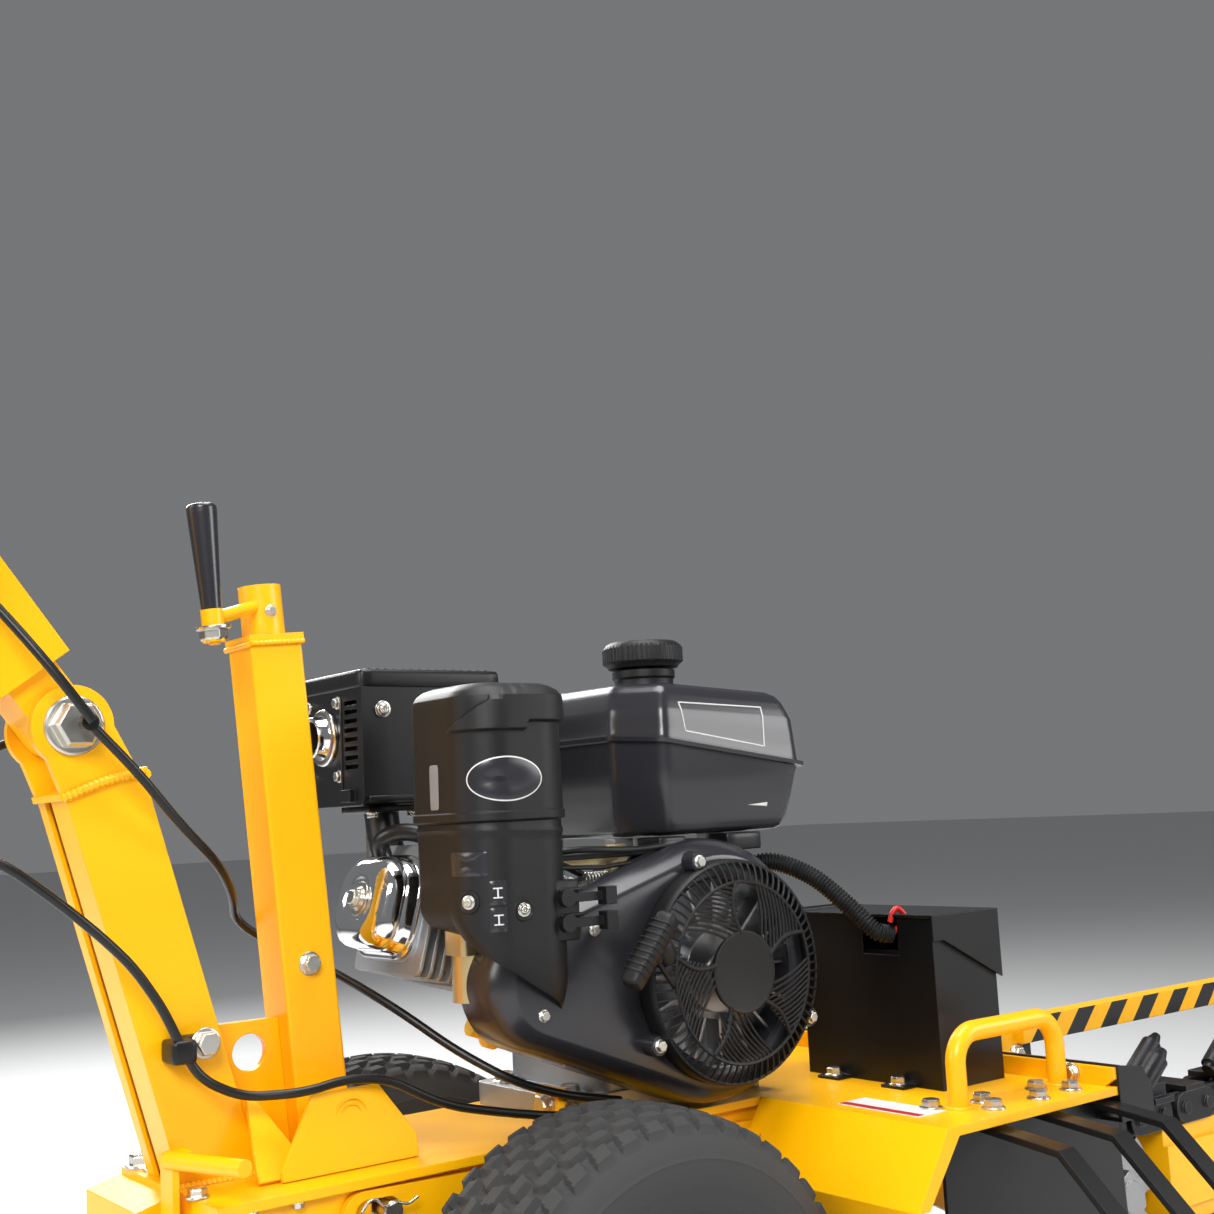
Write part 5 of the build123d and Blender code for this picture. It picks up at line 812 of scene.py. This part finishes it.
class TRENCHER_OT_starter(bpy.types.Operator):
    """Builds the blower housing, the starter's grille and the pull grip"""

    bl_idname = "trencher.starter"
    bl_label = "Blower and starter"

    def execute(self, context):
        big, small = 0.128, 0.064
        far = np.array([-0.196, 0.008])
        span = np.linalg.norm(far)
        lean = math.asin((big - small) / span)
        along = math.atan2(far[1], far[0])
        start, stop = along + math.pi / 2 - lean, along - math.pi / 2 + lean
        small_arc = np.linspace(start, stop, 40)
        big_arc = np.linspace(stop, start - TAU, 120)
        outline = np.concatenate([far + small * np.stack([np.cos(small_arc), np.sin(small_arc)], -1),
                                  big * np.stack([np.cos(big_arc), np.sin(big_arc)], -1)])
        outline = dense(outline, 360)
        ahead = np.roll(outline, -1, 0) - np.roll(outline, 1, 0)
        normal = np.stack([ahead[:, 1], -ahead[:, 0]], -1)
        normal /= np.linalg.norm(normal, axis=1)[:, None]
        if np.sum(normal * outline) < 0:
            normal = -normal
        rings = []
        for y, inset in ((-0.0925, 0.003), (-0.0922, 0.0), (-0.112, 0.0), (-0.132, 0.0006), (-0.142, 0.0035),
                         (-0.150, 0.0085), (-0.156, 0.0135), (-0.1588, 0.0165), (-0.1595, 0.019)):
            flat = outline - normal * inset
            rings.append(np.stack([ENGINE[0] + flat[:, 0], np.full(360, y), ENGINE[2] + flat[:, 1]], -1))
        turn = np.arctan2(outline[:, 1], outline[:, 0])
        for y, r in ((-0.1595, 0.092), (-0.157, 0.0885), (-0.120, 0.0885), (-0.0925, 0.0885)):
            rings.append(np.stack([ENGINE[0] + r * np.cos(turn), np.full(360, y),
                                   ENGINE[2] + r * np.sin(turn)], -1))
        piece("blower_shroud", grid(np.array(rings), wrap_u=True, wrap_v=True), "chassis",
              "gloss_black", ("blower_housing",), 40)
        d = (0, -1, 0)
        hub = ENGINE + (0, -0.160, 0)
        body = [lathe(hub, d, [(0.0, 0.104), (0.0, 0.107), (0.013, 0.107), (0.0185, 0.1062), (0.0205, 0.1045),
                               (0.0198, 0.1025), (0.012, 0.1035), (0.0, 0.104)], 160),
                lathe(hub, d, [(0.0255, 0.0835), (0.0268, 0.0855), (0.0285, 0.0868), (0.0298, 0.0858),
                               (0.0290, 0.0836), (0.0255, 0.0835)], 128)]
        for k in range(72):
            a = TAU * k / 72
            ray = np.array([math.cos(a), 0, math.sin(a)])
            lift = np.array([0, -1, 0])
            path = [hub + ray * 0.0862 + lift * 0.0275, hub + ray * 0.094 + lift * 0.0255,
                    hub + ray * 0.1015 + lift * 0.0215, hub + ray * 0.1042 + lift * 0.018]
            body.append(tube(path, 0.0013, 6))
        # inner grille: five sectors of slanted bars between ribs, round a plain disc
        lift = 0.0275
        for k in range(5):
            a = TAU * k / 5 + math.radians(22)
            b = a + TAU / 5
            rib_a = np.array([math.cos(a), 0, math.sin(a)])
            rib_b = np.array([math.cos(b), 0, math.sin(b)])
            bend = np.cross(rib_a, (0, 1, 0))
            rib = [hub + rib_a * r + bend * 0.006 * math.sin((r - 0.038) / 0.046 * math.pi) + np.array(
                [0, -lift - 0.0008, 0]) for r in np.linspace(0.036, 0.0845, 8)]
            body.append(tube(rib, 0.0023, 8))
            for step in range(13):
                foot = rib_a * (0.0285 + 0.0049 * step)
                start_r = np.linalg.norm(foot)
                if start_r > 0.081:
                    continue
                # run parallel to the next rib until the rim
                along_b = foot @ rib_b
                reach = -along_b + math.sqrt(max(along_b ** 2 - start_r ** 2 + 0.0845 ** 2, 0))
                begin = 0.0
                if start_r < 0.0405:
                    begin = -along_b + math.sqrt(max(along_b ** 2 - start_r ** 2 + 0.0385 ** 2, 0))
                span_r = np.linspace(begin, reach, 7)
                bow = 0.05 * np.sin((span_r - begin) / (reach - begin) * math.pi)[:, None] * (reach - begin)
                path = hub + foot + span_r[:, None] * rib_b + bow * np.cross(rib_b, (0, -1, 0)) + (0, -lift,
                                                                                                   0)
                body.append(tube(path, 0.0014, 6))
        body.append(lathe(hub, d, [(0.0225, 0.0), (0.0225, 0.037), (0.026, 0.0385), (0.0290, 0.0390),
                                   (0.0298, 0.0375),
                                   (0.0292, 0.0350), (0.0290, 0.0)], 96))
        body.append(lathe(hub + np.array([-0.090, -0.016, 0.024]), (-0.62, -0.45, 0.6), [(0, 0), (0, 0.014),
                          (0.018, 0.012), (0.021, 0.0095), (0.018, 0.006), (0.010, 0.005), (0.010, 0)], 32))
        piece("starter_grille", joined(body), "chassis", "moulded_black", ("recoil_cover",),
              36)
        heads, bosses = [], []
        for angle in (109, 211, 331):
            a = math.radians(angle)
            seat = hub + np.array([0.1125 * math.cos(a), 0.001, 0.1125 * math.sin(a)])
            bosses.append(lathe(seat, d, [(0, 0), (0, 0.0105), (0.012, 0.0098), (0.0145, 0.0088),
                                          (0.0145, 0)], 28))
            heads.append(hex_head(seat + np.array([0, -0.0142, 0]), d, 0.0105))
        for x, z in ((-0.155, 0.052), (-0.215, -0.018)):
            seat = hub + np.array([x, 0.0008, z])
            heads.append(hex_head(seat, d, 0.0095))
        piece("starter_bolts", joined(heads), "chassis", "zinc_plate")
        piece("starter_bosses", joined(bosses), "chassis", "gloss_black")

        # pull grip: a rounded bar with a ribbed face and its rope
        rope = np.array([-0.7034, -0.35, 0.6188])
        rope /= np.linalg.norm(rope)
        bar = np.array([-0.6605, 0, -0.7509])
        third = np.cross(rope, bar)
        centre_grip = ENGINE + np.array([-0.129, -0.207, 0.033])
        low_corner, high_corner = np.array([-0.039, -0.010, -0.0095]), np.array([0.039, 0.010, 0.0095])
        parts = [place(soft_box(low_corner, high_corner, 0.006, 6), centre_grip, bar, third, rope)]
        for s in np.linspace(-0.026, 0.026, 9):
            parts.append(place(soft_box((s - 0.0008, -0.0106, -0.006), (s + 0.0008, 0.0106, 0.0101), 0.0006,
                                        2),
                               centre_grip, bar, third, rope))
        parts.append(place(lathe((0, 0, 0), (0, 0, -1), [(0, 0), (0, 0.0085), (0.013, 0.0075), (0.018, 0.005),
                                                         (0.018, 0)], 24), centre_grip, bar, third, rope))
        parts.append(tube([centre_grip - rope * s for s in (0.0, 0.04, 0.08, 0.12)], 0.0024, 10))
        piece("starter_handle", joined(parts), "starter_grip", "moulded_black",
              ("pull_grip",))
        return {"FINISHED"}


class TRENCHER_OT_exhaust(bpy.types.Operator):
    """Builds the valve cover, the exhaust guard's trim and the outlet"""

    bl_idname = "trencher.exhaust"
    bl_label = "Valve cover and exhaust"

    def execute(self, context):
        tilt = math.radians(16)
        axis = np.array([-math.cos(tilt), 0, math.sin(tilt)])
        across = np.array([0, 1, 0])
        up = np.cross(axis, across)
        up = up if up[2] > 0 else -up

        def ring(inset):
            return dense(rounded(0.049 - inset, 0.044 - inset, 0.026 - inset * 0.3, 0.036 - inset * 0.5), 160)

        levels = [(0.2843, -0.004), (0.2865, -0.0055), (0.2885, -0.0052), (0.2895, -0.0015), (0.300, 0.0),
                  (0.3015, 0.0012), (0.303, 0.0012), (0.3045, 0.0002), (0.3125, 0.0012), (0.318, 0.0036),
                  (0.3222, 0.0078), (0.3248, 0.0130), (0.3258, 0.0190), (0.3250, 0.0225), (0.3232, 0.0262),
                  (0.3226, 0.030)]
        rings = np.array([np.c_[ring(inset), np.full(160, h)] for h, inset in levels])
        part = place(capped(curve_rings(rings, 2)), ENGINE, across, up, axis)
        piece("rocker_cover", part, "chassis", "polished_chrome", ("valve_cover",), 50)
        seat = ENGINE + axis * 0.3224
        nut = [lathe(seat, axis, [(0, 0), (0, 0.0165), (0.0012, 0.0158), (0.0005, 0.0125), (0.0008, 0.011),
                                  (0.0022, 0.0105), (0.0022, 0)], 40),
               hex_head(seat + axis * 0.002, axis, 0.0155)]
        piece("rocker_nut", joined(nut), "chassis", "zinc_plate")
        # plug boot and lead, breather hose
        boot = [tube(curve_through([ENGINE + axis * 0.262 + across * -0.02 + up * 0.050,
                                    ENGINE + axis * 0.276 + across * -0.028 + up * 0.066,
                                    ENGINE + axis * 0.268 + across * -0.046 + up * 0.076,
                                    ENGINE + axis * 0.225 + across * -0.070 + up * 0.072], 10), 0.0072, 14),
                tube(curve_through([ENGINE + axis * 0.225 + across * -0.070 + up * 0.072,
                                    ENGINE + axis * 0.180 + across * -0.086 + up * 0.070,
                                    ENGINE + axis * 0.120 + across * -0.092 + up * 0.060], 10), 0.0035, 10),
                tube(curve_through([ENGINE + axis * 0.290 + across * 0.030 + up * 0.046,
                                    ENGINE + axis * 0.300 + across * 0.022 + up * 0.062,
                                    ENGINE + axis * 0.285 + across * -0.004 + up * 0.072,
                                    ENGINE + axis * 0.245 + across * -0.040 + up * 0.064], 10), 0.0085, 14)]
        piece("plug_lead", joined(boot), "chassis", "cable_rubber")
        # guard trim
        trim = [soft_box((-0.1145, 0.0205, 0.792), (0.0485, 0.2015, 0.8125), 0.006, 6)]
        for k in range(15):
            x = -0.100 + 0.0098 * k
            trim.append(soft_box((x, 0.034, 0.8095), (x + 0.0045, 0.186, 0.8142), 0.0018, 3))
        trim.append(soft_box((-0.108, 0.0195, 0.682), (0.042, 0.0225, 0.688), 0.0015, 3))
        trim.append(soft_box((-0.1146, 0.064, 0.690), (-0.112, 0.067, 0.786), 0.001, 3))
        piece("guard_trim", joined(trim), "chassis", "black_coat")
        heads = [screw((-0.0905, 0.0218, 0.772), (0, -1, 0), 0.0085),
                 screw((0.018, 0.0218, 0.772), (0, -1, 0), 0.0085)]
        for z in (0.782, 0.709):
            heads.append(hex_head((-0.1132, 0.071, z), (-1, 0, 0), 0.0105))
            heads.append(hex_head((-0.1132, 0.136, z), (-1, 0, 0), 0.0105))
        piece("guard_screws", joined(heads), "chassis", "zinc_plate")
        flange = lathe((-0.1135, 0.101, 0.749), (-1, 0, 0),
                       [(0, 0.0205), (0, 0.029), (0.003, 0.029), (0.0042, 0.028),
                       (0.0048, 0.0235), (0.0085, 0.0215), (0.0162, 0.0208), (0.0172, 0.0195),
                       (0.0162, 0.0165),
                       (0.0, 0.0163)], 64)
        piece("outlet_flange", flange, "chassis", "polished_chrome")
        pipe = [tube(curve_through([(-0.062, 0.084, 0.690), (-0.061, 0.083, 0.668), (-0.060, 0.078, 0.640),
                                    (-0.058, 0.070, 0.618)], 8), 0.0175, 24),
                soft_box((-0.092, 0.052, 0.672), (-0.030, 0.112, 0.679), 0.002)]
        piece("exhaust_pipe", joined(pipe), "chassis", "black_coat")
        nuts = [hex_head((x, y, 0.6722), (0, 0, -1), 0.011) for x, y in ((-0.084, 0.060), (-0.038, 0.060))]
        piece("exhaust_nuts", joined(nuts), "chassis", "zinc_plate")
        return {"FINISHED"}


class TRENCHER_OT_fasteners(bpy.types.Operator):
    """Builds the bolts, clips, hairpins, weld beads and plates of the frame"""

    bl_idname = "trencher.fasteners"
    bl_label = "Frame fasteners and welds"

    def execute(self, context):
        deck = 0.371
        heads = [hex_head((x, y, deck), (0, 0, 1), s) for x, y, s in (
            (-0.316, 0.071, 0.024), (-0.238, -0.022, 0.020), (-0.312, 0.049, 0.018), (0.335, -0.345, 0.018),
            (0.398, -0.348, 0.018), (0.452, -0.345, 0.018), (0.300, -0.300, 0.018), (0.352, -0.318, 0.018),
            (0.434, -0.318, 0.018))]
        heads += [hex_head((x, y, deck + 0.022), (0, 0, 1), 0.020) for x in (0.055, 0.269) for y in (-0.062,
                                                                                                     0.052)]
        heads += [hex_head((x, y, deck + 0.003), (0, 0, 1), 0.016) for x in (0.361, 0.475) for y in (-0.205,
                                                                                                     -0.115)]
        heads += [hex_head((x, -0.123, 0.363), (0, 0, -1), 0.010) for x in (-0.300, -0.260)]
        heads += [hex_head((0.252, -0.127, 0.330), (0, -1, 0), 0.030),
                  hex_head((0.252, 0.085, 0.330), (0, 1, 0), 0.030),
                  hex_head((-0.1978, -0.0254, 0.540), (0, -1, 0), 0.017),
                  hex_head((0.486, -0.322, 0.3805), (-1, 0, 0), 0.016),
                  hex_head((0.532, -0.218, 0.383), (0, -1, 0), 0.016),
                  hex_head((0.018, -0.077, 0.391), (-1, 0, 0), 0.021),
                  hex_head((-0.308, -0.054, 0.487), (0, -1, 0), 0.021),
                  hex_head((-0.327, -0.080, 0.3715), (0, 0, 1), 0.016)]
        shanks = [tube([(0.016, -0.077, 0.391), (0.022, -0.077, 0.391), (0.046, -0.077, 0.391)], 0.0049, 16)]
        shanks += [tube([(0.252, y, 0.330), (0.252, y + 0.02, 0.330), (0.252, y + 0.048, 0.330)], 0.0079, 20)
                   for y in (-0.134, 0.044)]
        shanks.append(tube([(-0.341, -0.080, 0.312), (-0.341, -0.06, 0.312), (-0.341, -0.036, 0.312)],
                           0.0039, 14))
        piece("frame_bolt_heads", joined(heads + shanks), "chassis", "zinc_plate", ("frame_bolts",),
              25)
        hinge = [hex_head((-0.411, -0.038, 0.753), (0, -1, 0), 0.040),
                 hex_head((-0.411, 0.038, 0.753), (0, 1, 0), 0.036),
                 tube([(-0.411, y, 0.753) for y in (-0.039, 0.0, 0.052)], 0.0099, 20)]
        piece("hinge_bolt", joined(hinge), "chassis", "zinc_plate", ("pivot_bolt",), 25)
        clip = [soft_box((-0.341, -0.0685, 0.4735), (-0.3195, -0.0385, 0.4935), 0.0045, 6),
                soft_box((-0.326, -0.0535, 0.4795), (-0.299, -0.0385, 0.4945), 0.002)]
        piece("cable_clip", joined(clip), "chassis", "cable_rubber", ("cable_clamp",))
        # crank nut and cross bolt
        lean_axis = np.array([-math.sin(JACK_LEAN), 0, math.cos(JACK_LEAN)])
        foot = crank_end()
        nut = [hex_head(foot - lean_axis * 0.0062, -lean_axis, 0.0245)]
        piece("crank_nut", joined(nut), "crank", "zinc_plate")
        head = np.array([JACK_X - 0.458 * math.tan(JACK_LEAN), 0, 0.829]) + lean_axis * 0.030
        side = np.array([0, -1.0, 0])
        cross = [hex_head(head + side * 0.019, side, 0.009), hex_head(head - side * 0.019, -side, 0.009),
                 tube([head + side * s for s in (-0.028, 0.0, 0.02)], 0.0022, 10)]
        piece("crank_cross_bolt", joined(cross), "crank", "zinc_plate")
        # gusset ring, hairpin and clevis pin
        ring_t = np.linspace(0, TAU, 49)
        loops = []
        for r in (0.0095, 0.0145):
            loops.append(tube(np.c_[-0.190 + r * np.cos(ring_t),
                                    np.full(49, -0.0828) - 0.0009 * np.sin(ring_t),
                                    0.414 + r * np.sin(ring_t)], 0.0008, 8))
        piece("plug_weld_rings", joined(loops), "chassis", "yellow_coat")
        pin_x = JACK_X - (0.342 - 0.371) * math.tan(JACK_LEAN)
        wave = [(-0.026, 0.012), (-0.018, 0.0135), (-0.008, 0.006), (0.002, 0.0075), (0.012, 0.005),
                (0.022, 0.009)]
        hair = [curve_through([(pin_x + a, -0.1385, 0.342 + b) for a, b in wave], 8),
                curve_through([(pin_x - 0.026, -0.1385, 0.354), (pin_x - 0.031, -0.1385, 0.346),
                               (pin_x - 0.026, -0.1385, 0.338), (pin_x + 0.02, -0.1385, 0.336)], 8)]
        piece("leg_hairpin", joined([tube(path, 0.0013, 8) for path in hair] +
                                    [lathe((pin_x, -0.1335, 0.342), (0, -1, 0),
                                           [(0, 0), (0, 0.0088), (0.002, 0.0092),
                                     (0.0032, 0.0082), (0.0032, 0)], 24)]), "leg", "zinc_plate")
        # weld beads
        beads = []
        for side in (-1, 1):
            y = side * 0.0275
            top = np.array([JACK_X - 0.455 * math.tan(JACK_LEAN), 0, 0.828])
            beads.append(weld([top + (-0.026, y, -0.001), top + (0, y, 0.001), top + (0.026, y, 0.003)],
                              0.0024))
        beads.append(weld([top + (-0.0275, -0.026, -0.002), top + (-0.0275, 0, -0.002),
                           top + (-0.0275, 0.026, -0.002)],
                          0.0024))
        column_x = -0.288
        beads.append(weld([(column_x - 0.036, -0.0395, deck), (column_x, -0.0405, deck),
                           (column_x + 0.036, -0.0395, deck)],
                          0.004))
        beads.append(weld([(column_x + 0.0365, -0.038, deck), (column_x + 0.0375, 0, deck),
                           (column_x + 0.0365, 0.038, deck)], 0.004))
        beads.append(weld([(-0.2085, -0.0265, deck), (-0.183, -0.0275, deck), (-0.1575, -0.0265, deck)],
                          0.0036))
        beads.append(weld([(-0.157, -0.026, deck), (-0.156, 0, deck), (-0.157, 0.026, deck)], 0.0036))
        ear_top = np.array([-0.386, -0.0385, 0.708])
        beads.append(weld([ear_top + (-0.034, -0.001, -0.014), ear_top + (0, -0.0025, -0.001),
                           ear_top + (0.033, -0.001, 0.006)], 0.0042))
        beads.append(weld([ear_top + (0.036, 0, 0.004), ear_top + (0.037, 0.038, 0.004),
                           ear_top + (0.036, 0.076, 0.004)],
                          0.0042))
        for x in (0.318, 0.468):
            t = np.linspace(0, TAU, 25)
            beads.append(tube(np.c_[x + 0.0112 * np.cos(t), -0.318 + 0.0112 * np.sin(t), np.full(25, deck)],
                              0.0026 * (1 + 0.15 * np.sin(t * 9)), 8))
        piece("weld_beads", joined(beads), "chassis", "yellow_coat")
        # blank plates
        plate = soft_box((0.262, -0.318, 0.3707), (0.3005, -0.215, 0.3716), 0.0004, 3)
        piece("deck_label", plate, "chassis", "label_white")
        piece("deck_label_band", soft_box((0.2635, -0.316, 0.3712), (0.2725, -0.217, 0.3719), 0.0003, 3),
              "chassis",
              "label_red")
        return {"FINISHED"}


def crank_end():
    """The end of the crank arm, worked out as the crank's own axes are."""
    lean_axis = np.array([-math.sin(JACK_LEAN), 0, math.cos(JACK_LEAN)])
    flat = np.array([math.cos(JACK_LEAN), 0, math.sin(JACK_LEAN)])
    head = np.array([JACK_X - 0.458 * math.tan(JACK_LEAN), 0, 0.829]) + lean_axis * 0.008
    return head + lean_axis * 0.030 + (flat * -0.77 + np.array([0, -0.638, 0])) * 0.098 - lean_axis * 0.018


class TRENCHER_OT_conduit(bpy.types.Operator):
    """Builds the ribbed conduit and the battery lead"""

    bl_idname = "trencher.conduit"
    bl_label = "Battery conduit"

    def execute(self, context):
        route = [(0.268, -0.080, 0.568), (0.281, -0.080, 0.592), (0.304, -0.100, 0.600),
                 (0.327, -0.138, 0.582),
                 (0.345, -0.174, 0.548), (0.358, -0.192, 0.526), (0.373, -0.200, 0.522)]
        smooth = curve_through(route, 40)
        run = np.r_[0, np.cumsum(np.linalg.norm(np.diff(smooth, axis=0), axis=1))]
        s = np.linspace(0, run[-1], 300)
        path = np.stack([np.interp(s, run, smooth[:, i]) for i in range(3)], -1)
        ribs = 0.0088 + 0.0009 * np.clip(np.sin(s / 0.0036 * TAU) * 2, -1, 1)
        piece("ribbed_conduit", tube(path, ribs, 20), "chassis", "moulded_black",
              ("battery_cables",), 40)
        lead = curve_through([(0.372, -0.203, 0.524), (0.378, -0.205, 0.529), (0.386, -0.209, 0.531),
                              (0.401, -0.215, 0.526)], 10)
        second = curve_through([(0.3672, -0.2035, 0.5345), (0.3695, -0.206, 0.544), (0.3745, -0.209, 0.548),
                                (0.384, -0.212, 0.538)], 10)
        piece("battery_lead", joined([tube(lead, 0.0028, 12), tube(second, 0.0028, 12)]), "chassis",
              "red_lead")
        return {"FINISHED"}


class TRENCHER_OT_stage(bpy.types.Operator):
    """Lays the floor and sets the lights and the camera"""

    bl_idname = "trencher.stage"
    bl_label = "Stage"

    def execute(self, context):
        scene = context.scene
        mesh = bpy.data.meshes.new("studio_floor")
        mesh.from_pydata([(-30, -30, 0), (30, -30, 0), (30, 30, 0), (-30, 30, 0)], [], [(0, 1, 2, 3)])
        floor = bpy.data.objects.new("studio_floor", mesh)
        scene.collection.objects.link(floor)
        pale = bpy.data.materials.new("floor_pale")
        pale.use_nodes = True
        pale.node_tree.nodes["Principled BSDF"].inputs["Base Color"].default_value = (0.66, 0.66, 0.66, 1)
        pale.node_tree.nodes["Principled BSDF"].inputs["Roughness"].default_value = 0.8
        mesh.materials.append(pale)
        world = bpy.data.worlds.new("soft_room")
        world.use_nodes = True
        world.node_tree.nodes["Background"].inputs["Color"].default_value = (0.74, 0.76, 0.78, 1)
        world.node_tree.nodes["Background"].inputs["Strength"].default_value = 0.24
        scene.world = world
        scene.view_settings.view_transform = "Standard"
        aim = Vector((0.15, -0.1, 0.5))
        for name, place, size, power in (("key_light", (-2.2, -2.9, 2.6), 1.5, 150),
                                         ("fill_light", (2.8, -2.6, 1.7), 1.6, 60),
                                         ("rim_light", (0.4, 3.0, 2.6), 1.6, 130),
                                         ("left_light", (-3.2, 0.8, 1.8), 1.4, 60),
                                         ("top_light", (0.2, -0.3, 3.4), 1.8, 90)):
            data = bpy.data.lights.new(name, "AREA")
            data.size = size
            data.energy = power
            lamp = bpy.data.objects.new(name, data)
            lamp.location = place
            lamp.rotation_euler = (aim - Vector(place)).to_track_quat("-Z", "Y").to_euler()
            scene.collection.objects.link(lamp)
        yaw, pitch, roll = math.radians(37.5), math.radians(7.65), math.radians(-2.85)
        ahead = Vector((math.sin(yaw) * math.cos(pitch), math.cos(yaw) * math.cos(pitch), math.sin(pitch)))
        level = Vector((math.cos(yaw), -math.sin(yaw), 0))
        upright = level.cross(ahead)
        right = math.cos(roll) * level + math.sin(roll) * upright
        up = math.cos(roll) * upright - math.sin(roll) * level
        data = bpy.data.cameras.new("camera")
        data.lens = 44.95
        camera = bpy.data.objects.new("camera", data)
        turn = Matrix((right, up, -ahead)).transposed().to_4x4()
        camera.matrix_world = Matrix.Translation((-0.8182, -1.2974, 0.6621)) @ turn
        scene.collection.objects.link(camera)
        scene.camera = camera
        return {"FINISHED"}


class TRENCHER_PT_sidebar(bpy.types.Panel):
    """Lists the trencher's settings and the steps that build it"""

    bl_label = "Trencher"
    bl_idname = "TRENCHER_PT_sidebar"
    bl_space_type = "VIEW_3D"
    bl_region_type = "UI"
    bl_category = "Trencher"

    def draw(self, context):
        layout = self.layout
        for group in (context.scene.trencher_finish, context.scene.trencher_tyre):
            for name in group.__annotations__:
                layout.prop(group, name)
        for step in STEPS:
            layout.operator(step.bl_idname)


STEPS = (TRENCHER_OT_finishes, TRENCHER_OT_tyres, TRENCHER_OT_air_cleaner, TRENCHER_OT_tank,
         TRENCHER_OT_starter,
         TRENCHER_OT_exhaust, TRENCHER_OT_conduit, TRENCHER_OT_fasteners, TRENCHER_OT_stage)
CLASSES = (TrencherFinish, TrencherTyre) + STEPS + (TRENCHER_PT_sidebar,)


def register():
    for cls in CLASSES:
        bpy.utils.register_class(cls)
    bpy.types.Scene.trencher_finish = bpy.props.PointerProperty(type=TrencherFinish)
    bpy.types.Scene.trencher_tyre = bpy.props.PointerProperty(type=TrencherTyre)


def unregister():
    del bpy.types.Scene.trencher_tyre
    del bpy.types.Scene.trencher_finish
    for cls in reversed(CLASSES):
        bpy.utils.unregister_class(cls)


def main():
    """Builds everything in order."""
    register()
    for step in STEPS:
        group, name = step.bl_idname.split(".")
        getattr(getattr(bpy.ops, group), name)()


if __name__ == "__main__":
    main()
